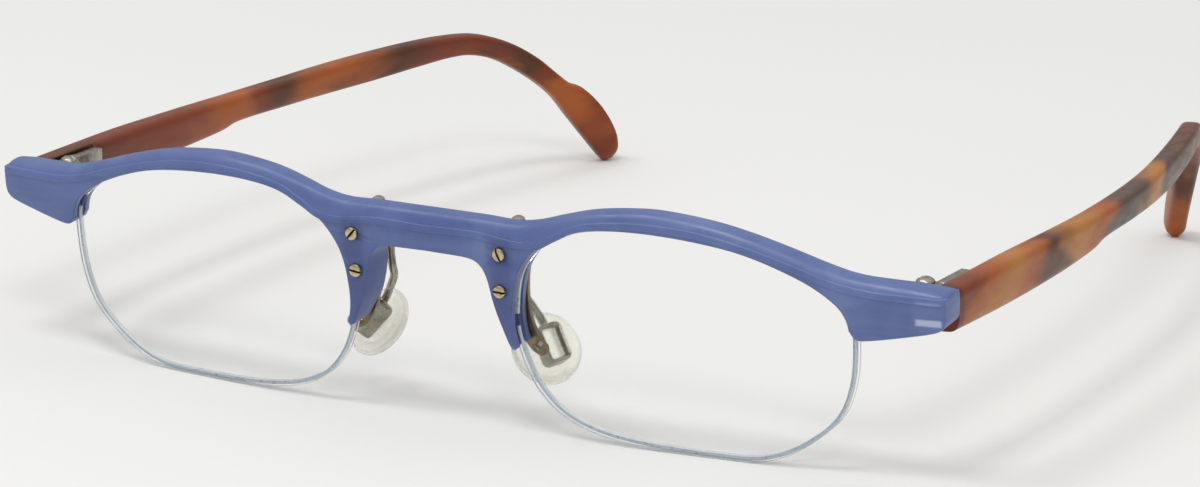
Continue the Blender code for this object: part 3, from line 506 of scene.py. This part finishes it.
def solid_from_rings(name, rings, material, parent=None, collection=GLASSES, angle=35.0):
    """A closed solid through rings of equally many points, with flat ends."""
    bm = bmesh.new()
    loops = [[bm.verts.new([c * MM for c in point]) for point in ring] for ring in rings]
    count = len(loops[0])
    for low, high in zip(loops, loops[1:]):
        for i in range(count):
            j = (i + 1) % count
            bm.faces.new((low[i], low[j], high[j], high[i]))
    bm.faces.new(loops[0])
    bm.faces.new(loops[-1])
    bmesh.ops.recalc_face_normals(bm, faces=bm.faces)
    bmesh.ops.triangulate(bm, faces=[f for f in bm.faces if len(f.verts) > 4])
    mesh = bpy.data.meshes.new(name)
    bm.to_mesh(mesh)
    bm.free()
    obj = new_object(name, mesh, material, parent, collection)
    round_off(obj, angle)
    return obj


def round_off(obj, angle=35.0):
    obj.data.shade_smooth()
    obj.data.set_sharp_from_angle(angle=math.radians(angle))


def prism(name, outline, low, high):
    """A cutter: an outline in x and h, extruded from depth low to depth high."""
    rings = [[(x, d, h) for x, h in outline] for d in (low, high)]
    return solid_from_rings(name, rings, None, None, CUTTERS)


def rounded_prism(name, reach_x, reach_z, corner, reach_y, material, parent, collection=GLASSES):
    """A block along Y whose four long edges are rounded."""
    outline = []
    for quarter, (sign_x, sign_z) in enumerate(((1, 1), (-1, 1), (-1, -1), (1, -1))):
        for i in range(7):
            angle = math.pi / 2 * quarter + math.pi / 12 * i
            outline.append((sign_x * (reach_x - corner) + corner * math.cos(angle),
                            sign_z * (reach_z - corner) + corner * math.sin(angle)))
    rings = [[(x, y, z) for x, z in outline] for y in (-reach_y, reach_y)]
    return solid_from_rings(name, rings, material, parent, collection)


def box(name, low, high, material=None, parent=None, collection=CUTTERS):
    bpy.ops.mesh.primitive_cube_add(size=1)
    size = [(b - a) * MM for a, b in zip(low, high)]
    middle = [(a + b) / 2 * MM for a, b in zip(low, high)]
    return adopt(name, Matrix.Translation(middle) @ Matrix.Diagonal((*size, 1)), material,
                 parent, collection)


def cylinder(name, radius, low, high, material=None, parent=None, collection=CUTTERS, sides=16,
             centre=(0, 0)):
    """A cylinder along its own Z, from low to high."""
    bpy.ops.mesh.primitive_cylinder_add(vertices=sides * DETAIL, radius=radius * MM,
                                        depth=(high - low) * MM)
    middle = (centre[0] * MM, centre[1] * MM, (low + high) / 2 * MM)
    return adopt(name, Matrix.Translation(middle), material, parent, collection)


def turned(name, profile, material, parent, steps):
    """A turned solid about its own Z; the profile gives (radius, z) from top to bottom."""
    mesh = bpy.data.meshes.new(name)
    points = [(r * MM, 0, z * MM) for r, z in profile]
    mesh.from_pydata(points, [(i, i + 1) for i in range(len(points) - 1)], [])
    obj = new_object(name, mesh, material, parent)
    screw = obj.modifiers.new("turn", "SCREW")
    screw.axis = "Z"
    screw.steps = screw.render_steps = steps * DETAIL
    screw.use_merge_vertices = True
    screw.merge_threshold = 0.00001
    screw.use_smooth_shade = True
    round_off(baked(obj))
    return obj


def adopt(name, placing, material, parent, collection):
    """Names and places what an operator just made, with its material, parent and collection."""
    obj = bpy.context.object
    obj.name = name
    obj.data.transform(placing)
    for old_home in list(obj.users_collection):
        old_home.objects.unlink(obj)
    collection.objects.link(obj)
    if material is not None:
        obj.data.materials.append(material)
    obj.parent = parent
    round_off(obj)
    return hide_cutter(obj)


def hide_cutter(obj):
    """Keeps an object out of the picture when it only cuts or joins others."""
    if CUTTERS in obj.users_collection:
        obj.hide_render = True
        obj.display_type = "WIRE"
    return obj


def wire(name, points, radius, material, parent=None, collection=GLASSES):
    """A round wire along points, as a curve with filled ends."""
    curve = bpy.data.curves.new(name, "CURVE")
    curve.dimensions = "3D"
    curve.bevel_depth = radius * MM
    curve.bevel_resolution = WIRE_DETAIL
    curve.use_fill_caps = True
    spline = curve.splines.new("POLY")
    spline.points.add(len(points) - 1)
    for spot, point in zip(spline.points, points):
        spot.co = (*[c * MM for c in point], 1)
    return new_object(name, curve, material, parent, collection)


def evaluated_mesh(obj):
    """A new mesh of what an object's curve or modifiers make."""
    bpy.context.view_layer.update()
    graph = bpy.context.evaluated_depsgraph_get()
    return bpy.data.meshes.new_from_object(obj.evaluated_get(graph))


def wire_mesh(name, points, radius, parent):
    """A wire turned into a closed mesh, to join with."""
    source = wire(name + "_line", points, radius, None, parent, CUTTERS)
    mesh = evaluated_mesh(source)
    bm = bmesh.new()
    bm.from_mesh(mesh)
    bmesh.ops.remove_doubles(bm, verts=bm.verts, dist=0.000005)
    bmesh.ops.recalc_face_normals(bm, faces=bm.faces)
    bm.to_mesh(mesh)
    bm.free()
    obj = new_object(name, mesh, None, parent, CUTTERS)
    obj.matrix_local = source.matrix_local
    bpy.data.objects.remove(source, do_unlink=True)
    return obj


def combine(obj, other, operation):
    step = obj.modifiers.new(operation.lower() + "_" + other.name, "BOOLEAN")
    step.operation = operation
    step.solver = "EXACT"
    step.object = other
    if other.data.materials:
        step.material_mode = "TRANSFER"
    return obj


def bore_out(piece, name, radius, parent, centre=(0, 0), sides=12, low=15):
    """Cuts an upright bore for a pin through a piece."""
    bore = cylinder(name, radius, low, 30, parent=parent, centre=centre, sides=sides)
    combine(piece, bore, "DIFFERENCE")


def soften(obj, width, segments):
    edges = obj.modifiers.new("soft_edges", "BEVEL")
    edges.width = width * MM
    edges.segments = segments


def baked(obj):
    """Writes what an object's modifiers make into its own mesh."""
    mesh = evaluated_mesh(obj)
    obj.modifiers.clear()
    obj.data = mesh
    return obj


def pose_empty(name, location, rotation=(0, 0, 0), parent=None):
    empty = bpy.data.objects.new(name, None)
    empty.empty_display_size = 0.005
    GLASSES.objects.link(empty)
    empty.location = [c * MM for c in location]
    empty.rotation_euler = rotation
    empty.parent = parent
    return empty


# -------- shapes of the front
def wrapped_depth(x, d):
    """Depth in the front's frame of a point d behind the curved face at x."""
    swell = 1 + END_THICKER * min(max((abs(x) - 60.0) / 6.0, 0.0), 1.0)
    return d * swell + WRAP * x * x


def wrap(obj):
    for vertex in obj.data.vertices:
        vertex.co.y = wrapped_depth(vertex.co.x / MM, vertex.co.y / MM) * MM
    return obj


def lens_outline():
    return evenly(smooth(LENS_OUTLINE, 6, closed=True), LENS_POINTS, closed=True)


def mirrored(points, side):
    """The points for one side, still counter-clockwise when they are an outline."""
    if side > 0:
        return [tuple(p) for p in points]
    return [(-p[0], *p[1:]) for p in reversed(points)]


def edge_stretch(inset, ends, way):
    """The lens edge above (way 1) or below (way -1) its ends, from the nose side outwards.

    The ends are two heights, on the nose side and on the outer side.
    """
    middle_x, middle_h = LENS_MIDDLE
    part = [p for p in grown(lens_outline(), -inset)
            if way * p[1] > way * ends[0 if p[0] < middle_x else 1]]

    def turn(point):
        angle = math.atan2(way * (point[1] - middle_h), middle_x - point[0])
        return (angle + 1) % (2 * math.pi)      # the stretches start less than 1 radian back

    return sorted(part, key=turn)


def plate_outline():
    """Outline of the whole front plate, counter-clockwise, seen from the front."""
    half = [tuple(p) for p in evenly(smooth(NOSE_SIDE, 8), 60)]
    half += [(12.9, LEG_TIP_H)]
    half += [tuple(p) for p in edge_stretch(RIM_OVERLAP, RIM_ENDS, 1)]
    half += [tuple(p) for p in evenly(smooth(END_PIECE, 8), 48)]
    half += [(x, value_at(RIDGE, x) + BEAD_SUNK) for x in np.linspace(71.2, 1.0, 80)]
    other = [(-x, h) for x, h in reversed(half[1:])]
    return half + [(0.0, value_at(RIDGE, 0) + BEAD_SUNK)] + other


def flared(x, depth, h):
    """X of an outline point at a depth: the nose side of each leg widens towards its back."""
    edge, heights = zip(*reversed(NOSE_SIDE))
    if abs(abs(x) - np.interp(h, heights, edge)) > 0.7:
        return x
    share = np.interp(h, *zip(*FLARE_SHARE))
    return x - math.copysign(NOSE_FLARE * share * depth / PLATE_BACK, x)


def front_plate():
    outline = plate_outline()
    rings = []
    turns = [i * math.pi / 10 for i in range(6)]
    edge = [(EDGE_ROUND * (1 - math.sin(a)), EDGE_ROUND * (1 - math.cos(a))) for a in turns]
    edge += [(PLATE_BACK - d, inset) for d, inset in reversed(edge)]
    for depth, inset in sorted(edge):
        rings.append([(flared(x, depth, h), depth, h) for x, h in grown(outline, -inset)])
    return solid_from_rings("front_frame", rings, BLUE)


def brow_bead():
    """The bead along the top of the front, from one end piece to the other."""
    stations = [(x, 1.0) for x in np.linspace(-70.4, 70.4, 189)]
    ends = [(70.7, 0.96), (70.95, 0.87), (71.12, 0.74), (71.25, 0.5)]
    stations = [(-x, s) for x, s in reversed(ends)] + stations + ends
    rings = []
    for x, share in stations:
        ridge = value_at(RIDGE, abs(x))
        rise = value_at(CROWN, abs(x)) - ridge
        middle = PLATE_BACK / 2
        rings.append([(x, middle + (d - middle) * (0.75 + 0.25 * share),
                       ridge + rise * (0.4 + (up - 0.4) * share)) for d, up in BEAD_SECTION])
    return solid_from_rings("brow_bead", rings, None, None, CUTTERS)


def aim_at_depth(obj, x, d, h):
    """Places an object whose own Z points forward, out of the front's face."""
    obj.location = (x * MM, d * MM, h * MM)
    obj.rotation_euler = (math.radians(90), 0, 0)


def drill_for_screws(piece, label, name, front_end, sides, pose):
    """Clearance holes for both bracket screws of one side."""
    for level, (x, h) in SCREW_PLACES.items():
        hole = cylinder(f"{label}_{level}_{name}", SCREW_HOLE, -9, front_end, parent=pose,
                        sides=sides)
        aim_at_depth(hole, SIDES[name] * x, 0, h)
        combine(piece, hole, "DIFFERENCE")


def build_front(pose):
    front = combine(front_plate(), brow_bead(), "UNION")
    for name, side in SIDES.items():
        seat = mirrored(grown(lens_outline(), RIM_GROOVE_CLEARANCE), side)
        combine(front, prism("lens_seat_" + name, seat, *RIM_GROOVE), "DIFFERENCE")
    wrap(baked(front))
    front.parent = pose
    for name in SIDES:
        drill_for_screws(front, "screw_hole", name, 2, 20, pose)
    round_off(front)
    return front


def build_lens(name, side, pose):
    outline = lens_outline()
    low, high = EDGE_GROOVE
    steps = [(LENS_FRONT, LENS_CHAMFER), (LENS_FRONT + LENS_CHAMFER, 0.0), (low, 0.0),
             (low, EDGE_GROOVE_DEPTH), (high, EDGE_GROOVE_DEPTH), (high, 0.0),
             (LENS_BACK - LENS_CHAMFER, 0.0), (LENS_BACK, LENS_CHAMFER)]
    rings = [mirrored([(x, d, h) for x, h in grown(outline, -inset)], side)
             for d, inset in steps]
    lens = solid_from_rings("lens_" + name, rings, CLEAR, pose, angle=25.0)
    lens.data.materials.append(EDGE)
    for face in lens.data.polygons:
        spots = [lens.data.vertices[v].co / MM for v in face.vertices]
        depths = [spot.y for spot in spots]
        bare = spots[0].z < BARE_EDGE[0 if abs(spots[0].x) < LENS_MIDDLE[0] else 1]
        if bare and max(depths) - min(depths) > 0.05:
            face.material_index = 1
    return wrap(lens)


def build_cord(name, side, pose):
    """The nylon cord, in the groove round the lower edge; its ends go up into the rim's groove."""
    middle = sum(EDGE_GROOVE) / 2
    points = [(side * x, wrapped_depth(x, middle), h)
              for x, h in edge_stretch(CORD_INSET, CORD_ENDS, -1)]
    return wire("nylon_cord_" + name, points, CORD_RADIUS, NYLON, pose)


def build_liner(name, side, pose):
    """The nylon liner, which holds the upper edge of the lens in the rim's groove."""
    middle = sum(EDGE_GROOVE) / 2
    half = LINER_WIDTH / 2
    inner = edge_stretch(EDGE_GROOVE_DEPTH - 0.1, LINER_ENDS, 1)
    outer = edge_stretch(-RIM_GROOVE_CLEARANCE + 0.1, LINER_ENDS, 1)
    count = min(len(inner), len(outer))
    rings = []
    for low, high in zip(inner[:count], outer[:count]):
        rings.append([(side * p[0], middle + d, p[1]) for p, d in
                      ((low, -half), (low, half), (high, half), (high, -half))])
    return wrap(solid_from_rings("lens_liner_" + name, rings, NYLON, pose, angle=25.0))


# -------- brackets, arms and pads
def build_bracket(name, side, pose):
    outline = evenly(smooth(BRACKET_OUTLINE, 6, closed=True), 100, closed=True)[::-1]
    front, back = BRACKET_DEPTH
    rings = [[(x, d, h) for x, h in mirrored(grown(outline, -inset), side)]
             for d, inset in ((front, 0.08), (front + 0.08, 0), (back - 0.08, 0), (back, 0.08))]
    plate = wrap(solid_from_rings("bracket_plate_" + name, rings, BRONZE, pose))
    x, depth = side * PIN_PLACE[0], PIN_PLACE[1]
    barrel = cylinder("barrel_" + name, BARREL_RADIUS, *BARREL, parent=pose, centre=(x, depth))
    web = box("barrel_web_" + name, (x - 0.7, BRACKET_DEPTH[1] - 0.3, BARREL[0] + 0.05),
              (x + 0.7, depth, BARREL[1] - 0.05), parent=pose)
    combine(plate, web, "UNION")
    combine(plate, barrel, "UNION")
    bore_out(plate, "barrel_bore_" + name, PIN_RADIUS + 0.15, pose, (x, depth), low=20)
    slot = box("cord_slot_" + name, (-0.35, 3.0, -0.6), (0.35, 6.0, 0.6), parent=pose)
    slot.location = (side * CORD_SLOT[0] * MM, 0, CORD_SLOT[1] * MM)
    slot.rotation_euler = (0, math.radians(35) * side, 0)
    combine(plate, slot, "DIFFERENCE")
    drill_for_screws(plate, "bracket_hole", name, 1, 12, pose)
    return plate


def build_bracket_screw(name, level, side, pose):
    x, h = SCREW_PLACES[level]
    shank, head = SCREW_SHANK, SCREW_HEAD
    profile = [(0, 0.42), (head * 0.6, 0.4), (head * 0.9, 0.3), (head, 0.16), (head, 0.06),
               (shank, 0.0), (shank, -5.3), (0, -5.4)]
    screw = turned(f"bracket_screw_{level}_{name}", profile, BRASS, pose, steps=14)
    aim_at_depth(screw, side * x, wrapped_depth(x, 0.0) - 0.12, h)
    # The faces cut by the slot take the painted shade metal
    slot = box(f"screw_slot_{level}_{name}", (-1.2, -0.15, 0.12), (1.2, 0.15, 1.0), SLOT_SHADE, screw)
    slot.rotation_euler = (0, 0, math.radians(SLOT_TURNS[level + "_" + name]))
    return combine(screw, slot, "DIFFERENCE")


def build_pin(name, side, pose):
    """The vertical pin with its domed head, and the nut on its lower end."""
    x, depth = side * PIN_PLACE[0], PIN_PLACE[1]
    top = BARREL[1] + 0.12
    profile = [(0, 0.75), (0.45, 0.67), (0.82, 0.42), (0.95, 0.0), (PIN_RADIUS, -0.001),
               (PIN_RADIUS, EYE[0] - 1.1 - top), (0, EYE[0] - 1.2 - top)]
    pin = turned("arm_pin_" + name, profile, NICKEL, pose, steps=14)
    pin.location = (x * MM, depth * MM, top * MM)
    nut = cylinder("arm_nut_" + name, 0.85, EYE[0] - 1.1, EYE[0] - 0.2, NICKEL, pose, GLASSES,
                   sides=6, centre=(x, depth))
    bore_out(nut, "nut_bore_" + name, PIN_RADIUS + 0.1, pose, (x, depth))
    return pin, nut


def pad_pose(name, side, pose):
    """Frame of one pad: Z runs along the holder box, Y points at the nose."""
    x, d, h = BOX_CENTRE[name]
    splay, dip, lean = (math.radians(angle) for angle in PAD_TURNS[name])
    turn = (Matrix.Rotation(side * splay, 4, "Z") @ Matrix.Rotation(-dip, 4, "X")
            @ Matrix.Rotation(-side * lean, 4, "Y"))
    return pose_empty("nose_pad_pose_" + name, (side * x, d, h), turn.to_euler(), pose)


def build_arm(name, side, pose, holder):
    """The pad arm: an eye round the pin, a looped wire and an open box for the pad."""
    half = [s / 2 for s in BOX_SIZE]
    arm = rounded_prism("pad_arm_" + name, half[0], half[2], BOX_CORNER, half[1], NICKEL, holder)
    soften(arm, 0.12, 3)
    window = rounded_prism("box_window_" + name, half[0] - BOX_WALL, half[2] - BOX_WALL,
                           BOX_CORNER - BOX_WALL, 2, None, holder, CUTTERS)
    along = holder.rotation_euler.to_matrix() @ Vector((0, 0, 1))
    route = [(side * x, d, h) for x, d, h in ARM_PATH]
    route += [tuple(holder.location / MM + along * (half[2] + up)) for up in (0.6, -0.25)]
    loop = evenly(smooth(route, 8), 64)
    strut = wire_mesh("arm_wire_" + name, loop, ARM_RADIUS, pose)
    x, depth = side * PIN_PLACE[0], PIN_PLACE[1]
    eye = cylinder("arm_eye_" + name, BARREL_RADIUS, *EYE, parent=pose, centre=(x, depth))
    combine(arm, strut, "UNION")
    combine(arm, eye, "UNION")
    combine(arm, window, "DIFFERENCE")
    bore_out(arm, "eye_bore_" + name, PIN_RADIUS + 0.15, pose, (x, depth))
    return arm


def build_pad(name, holder):
    """The clear push-in pad: a domed disc with a flat middle and a stub in the box."""
    back = PAD_BACK
    face = back + PAD_THICKNESS
    profile = [(0, face), (2.4, face), (2.7, face - 0.01), (3.2, face - 0.09),
               (3.7, face - 0.21), (4.1, face - 0.37), (4.45, face - 0.59), (4.7, face - 0.81),
               (4.84, face - 0.98), (PAD_RADIUS, face - 1.15), (PAD_RADIUS, back + 0.28),
               (PAD_RADIUS - 0.1, back + 0.12), (PAD_RADIUS - 0.3, back + 0.03),
               (4.4, back + 0.05), (4.2, back + 0.2), (3.9, back + 0.28), (3.5, back + 0.26),
               (3.25, back + 0.1), (3.0, back + 0.02), (2.7, back), (0, back)]
    pad = turned("nose_pad_" + name, profile, SILICONE, holder, steps=22)
    pad.rotation_euler = (math.radians(-90), 0, 0)
    gap = BOX_WALL + STUB_CLEARANCE
    half_x = BOX_SIZE[0] / 2 - gap
    half_z = BOX_SIZE[2] / 2 - gap
    stub = box("pad_stub_" + name, (-half_x, -0.65, -half_z), (half_x, back + 0.5, half_z),
               parent=holder)
    soften(stub, 0.25, 2)
    return combine(pad, stub, "UNION")


# -------- temples and hinges
def temple_section(top, bottom, line, thick, share, sides=36):
    """One rounded section of a temple between its top and bottom edge points."""
    ring = []
    for i in range(sides):
        angle = 2 * math.pi * (i + 0.5) / sides
        across, up = math.cos(angle), math.sin(angle)
        across = math.copysign(abs(across) ** 0.6, across)
        up = math.copysign(abs(up) ** 0.6, up)
        middle = [(a + b) / 2 for a, b in zip(top, bottom)]
        y = middle[0] + (top[0] - bottom[0]) / 2 * up
        z = middle[1] + (top[1] - bottom[1]) / 2 * up
        slope = line(y + 0.5) - line(y - 0.5)
        normal = 1 / math.hypot(1, slope)
        reach = thick(y) / 2 * across * share
        ring.append((line(y) + reach * normal, y - reach * slope * normal, z))
    return ring


def end_piece_back(x, z):
    """Y of the back of the end piece, measured from the hinge pin."""
    d = wrapped_depth(x, PLATE_BACK)
    lean = FRONT_LEAN
    h = (z - FRONT_Z - d * math.sin(lean)) / math.cos(lean)
    return FRONT_Y + d * math.cos(lean) - h * math.sin(lean) - HINGE_Y


def build_temple(name, side, hinge):
    line_path = np.array(smooth(TEMPLE_LINE, 6))

    def line(y):
        bend = TEMPLE_BEND[name] * max(y - BEND_START, 0)
        return float(np.interp(y, line_path[:, 0], line_path[:, 1])) + bend

    def thick(y):
        return float(np.interp(y, *zip(*TEMPLE_THICK)))

    edges = smooth([(*top, *bottom) for top, bottom in TEMPLE_EDGES], 8)
    tip = (edges[-1][:2] + edges[-1][2:]) / 2
    rings = []
    for edge in edges:
        from_tip = np.linalg.norm((edge[:2] + edge[2:]) / 2 - tip)
        share = math.sqrt(max(0.12, 1 - max(1 - from_tip / TIP_ROUND, 0) ** 2))
        rings.append(temple_section(edge[:2], edge[2:], line, thick, share))
    rings[0] = [(x, end_piece_back(HINGE_X + x, z) + BUTT_GAP, z) for x, y, z in rings[0]]
    rings = [[(side * x, y, z) for x, y, z in ring] for ring in rings]
    temple = solid_from_rings("temple_" + name, rings, TORTOISE[name], hinge, angle=50.0)
    pocket = box("leaf_pocket_" + name,
                 (-1.5, -4.0, KNUCKLES["bottom"][0] - 0.3),
                 (LEAF_X[1] + 0.25, LEAF_LENGTH + 0.3, KNUCKLES["top"][1] + 0.3), parent=hinge)
    if side < 0:
        pocket.data.transform(Matrix.Diagonal((-1, 1, 1, 1)))
        pocket.data.flip_normals()
    combine(temple, pocket, "DIFFERENCE")
    return temple


def build_hinge(name, side, hinge, front, world):
    """Both hinge leaves and the hinge screw. The temple leaf turns with the temple."""
    leaf = cylinder("hinge_temple_leaf_" + name, KNUCKLE_RADIUS, *KNUCKLES["top"], NICKEL, hinge,
                    GLASSES, sides=20)
    low_knuckle = cylinder("leaf_low_knuckle_" + name, KNUCKLE_RADIUS, *KNUCKLES["bottom"],
                           parent=hinge, sides=20)
    inner, outer = sorted((side * LEAF_X[0], side * LEAF_X[1]))
    strap = box("leaf_strap_" + name, (inner, 1.7, KNUCKLES["bottom"][0] + 0.02),
                (outer, LEAF_LENGTH, KNUCKLES["top"][1] - 0.02), parent=hinge)
    inner, outer = sorted((side * 0.05, side * (LEAF_X[1] - 0.01)))
    combine(leaf, low_knuckle, "UNION")
    combine(leaf, strap, "UNION")
    for level in ("top", "bottom"):
        low, high = KNUCKLES[level]
        lug = box(f"leaf_lug_{level}_{name}", (inner, -0.2, low + 0.04),
                  (outer, 1.9, high - 0.04), parent=hinge)
        combine(leaf, lug, "UNION")
    bore_out(leaf, "leaf_bore_" + name, HINGE_BORE, hinge, sides=16)

    low, high = KNUCKLES["middle"]
    fixed = cylinder("hinge_front_leaf_" + name, KNUCKLE_RADIUS, low, high, NICKEL, world,
                     GLASSES, sides=20)
    back = end_piece_back(HINGE_X, 22.5)
    neck = box("front_leaf_neck_" + name, (-1.1, back - 1.0, low + 0.05),
               (1.1, -0.6, high - 0.05), parent=world)
    anchor_low, anchor_high = ANCHOR_LEVELS
    half = ANCHOR_WIDTH / 2
    anchor = box("front_leaf_anchor_" + name, (-half, back - ANCHOR_DEPTH, anchor_low),
                 (half, back - 0.1, anchor_high), parent=world)
    combine(fixed, neck, "UNION")
    combine(fixed, anchor, "UNION")
    bore_out(fixed, "front_leaf_bore_" + name, HINGE_BORE, world, sides=16)
    gap = ANCHOR_GAP
    pocket = box("anchor_pocket_" + name,
                 (-half - gap, back - ANCHOR_DEPTH - gap, anchor_low - gap),
                 (half + gap, back + 4.0, anchor_high + gap), parent=world)
    combine(front, pocket, "DIFFERENCE")

    top = KNUCKLES["top"][1] + 0.12
    bottom = KNUCKLES["bottom"][0] - 0.25
    radius = HINGE_HEAD_RADIUS
    profile = [(0, top + 0.85), (radius * 0.5, top + 0.78), (radius * 0.86, top + 0.52),
               (radius, top + 0.25), (radius, top), (HINGE_PIN_RADIUS, top - 0.001),
               (HINGE_PIN_RADIUS, bottom + 0.1), (HINGE_PIN_RADIUS - 0.1, bottom), (0, bottom)]
    screw = turned("hinge_screw_" + name, profile, NICKEL, world, steps=18)
    slot = box("hinge_slot_" + name, (-1.5, -0.17, top + 0.5), (1.5, 0.17, top + 2), parent=world)
    slot.rotation_euler = (0, 0, math.radians(25 * side))
    combine(screw, slot, "DIFFERENCE")
    return leaf, fixed, screw


# -------- assembly
def settle(obj, node, body, slot):
    """Writes a piece's final mesh in the row frame and lets it stand for its CAD node."""
    if obj.type == "CURVE":
        mesh = evaluated_mesh(obj)
        mesh.shade_smooth()
        obj = new_object("wire_mesh", mesh, None, obj.parent)
    baked(obj)
    obj.data.transform(obj.matrix_world)
    obj.parent = None
    obj.matrix_world = Matrix.Identity(4)
    obj.name = "fine_" + node
    for polygon in obj.data.polygons:
        if polygon.material_index >= len(obj.data.materials):
            polygon.material_index = 0
    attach(obj, body)
    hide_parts(node)
    return obj


def build_glasses():
    front_pose = pose_empty("front_pose", (0, FRONT_Y, FRONT_Z), (FRONT_LEAN, 0, 0))
    front = build_front(front_pose)
    made = []
    for name, side in SIDES.items():
        made += [(build_lens(name, side, front_pose), "lens_" + name, "front", "clear_lens"),
                 (build_cord(name, side, front_pose), "nylon_cord_" + name, "front", "nylon"),
                 (build_liner(name, side, front_pose), "lens_liner_" + name, "front", "nylon"),
                 (build_bracket(name, side, front_pose), "bracket_plate_" + name, "front",
                  "nickel_silver")]
        for level in SCREW_PLACES:
            made.append((build_bracket_screw(name, level, side, front_pose),
                         f"bracket_screw_{level}_{name}", "front", "pale_brass"))
        pin, nut = build_pin(name, side, front_pose)
        made += [(pin, "arm_pin_" + name, "front", "nickel_silver"),
                 (nut, "arm_nut_" + name, "front", "nickel_silver")]
        holder = pad_pose(name, side, front_pose)
        made.append((build_arm(name, side, front_pose, holder), "pad_arm_" + name, "front",
                     "nickel_silver"))
        made.append((build_pad(name, holder), "nose_pad_" + name, name + "_pad",
                     "clear_silicone"))
        place = (side * HINGE_X, HINGE_Y, 0)
        temple_pose = pose_empty("temple_hinge_" + name, place)
        screw_pose = pose_empty("hinge_place_" + name, place)
        made.append((build_temple(name, side, temple_pose), "temple_" + name, name + "_temple",
                     "tortoise_plastic"))
        leaf, fixed, screw = build_hinge(name, side, temple_pose, front, screw_pose)
        made += [(leaf, "hinge_temple_leaf_" + name, name + "_temple", "nickel_silver"),
                 (fixed, "hinge_front_leaf_" + name, "front", "nickel_silver"),
                 (screw, "hinge_screw_" + name, "front", "nickel_silver")]
    made.append((front, "front_frame", "front", "blue_plastic"))
    keep = {settle(*piece).name for piece in made}
    for obj in list(GLASSES.objects) + list(CUTTERS.objects):
        if obj.name not in keep:
            bpy.data.objects.remove(obj, do_unlink=True)


build_glasses()
for side_name in SIDES:
    core = frame["nodes"]["temple_core_" + side_name]
    core.data.materials.clear()
    core.data.materials.append(NICKEL)


# -------- table, light and camera
def table_paint():
    paint = Paint("pale_table", (0.84, 0.84, 0.82), 0.7, Specular_IOR_Level=0.2)
    paper = paint.noise(900, 4)
    broad = paint.noise(6, 2)
    tone = paint.mix(broad, (0.825, 0.825, 0.81), (0.855, 0.855, 0.84))
    paint.set("Base Color", paint.mix(paint.between(paper, 0.3, 0.7, 0, 0.06), tone,
                                      (0.72, 0.72, 0.71)))
    return paint.bump(paper, 0.03, 0.05).material


def area_light(name, location, size, power):
    """A square light that faces the middle of the table."""
    data = bpy.data.lights.new(name, "AREA")
    data.shape = "RECTANGLE"
    data.size = data.size_y = size
    data.energy = power
    obj = bpy.data.objects.new(name, data)
    bpy.context.scene.collection.objects.link(obj)
    obj.location = location
    obj.rotation_euler = (-Vector(location)).to_track_quat("-Z", "Y").to_euler()


bpy.ops.mesh.primitive_plane_add(size=6, location=(0, 0.6, 0))
table = bpy.context.object
table.name = "table"
table.data.materials.append(table_paint())


WALL_LIGHT = 0.26
CEILING_LIGHT = 0.80


def soft_room():
    """A pale room: bright overhead, darker towards the horizon."""
    world = bpy.data.worlds.new("soft_room")
    bpy.context.scene.world = world
    world.use_nodes = True
    nodes, links = world.node_tree.nodes, world.node_tree.links
    heading = nodes.new("ShaderNodeSeparateXYZ")
    links.new(nodes.new("ShaderNodeTexCoord").outputs["Generated"], heading.inputs[0])
    height = nodes.new("ShaderNodeMapRange")
    links.new(heading.outputs["Z"], height.inputs["Value"])
    for socket, value in (("From Min", 0.0), ("From Max", 0.75), ("To Min", WALL_LIGHT),
                          ("To Max", CEILING_LIGHT)):
        height.inputs[socket].default_value = value
    background = nodes["Background"]
    background.inputs["Color"].default_value = (1.0, 0.995, 0.985, 1.0)
    links.new(height.outputs[0], background.inputs["Strength"])


soft_room()
area_light("front_top", (0.0, -0.45, 1.05), 0.24, 2.2)
area_light("right_key", (0.62, -0.95, 0.95), 0.30, 3.2)
area_light("left_fill", (-0.50, -0.40, 1.00), 0.30, 1.9)
bpy.context.scene.view_settings.view_transform = "Standard"

CAMERA_PLACE = (344.1, -640.1, 200.5)
CAMERA_TURN = math.radians(29.16)
CAMERA_DIP = math.radians(14.79)
CAMERA_LENS = 159.5
camera = bpy.data.objects.new("camera", bpy.data.cameras.new("camera"))
bpy.context.scene.collection.objects.link(camera)
bpy.context.scene.camera = camera
camera.location = [c * MM for c in CAMERA_PLACE]
look = Vector((-math.sin(CAMERA_TURN) * math.cos(CAMERA_DIP),
               math.cos(CAMERA_TURN) * math.cos(CAMERA_DIP), -math.sin(CAMERA_DIP)))
camera.rotation_euler = look.to_track_quat("-Z", "Y").to_euler()
camera.data.lens = CAMERA_LENS
camera.data.sensor_width = 36
camera.data.clip_start = 0.05
camera.data.clip_end = 20
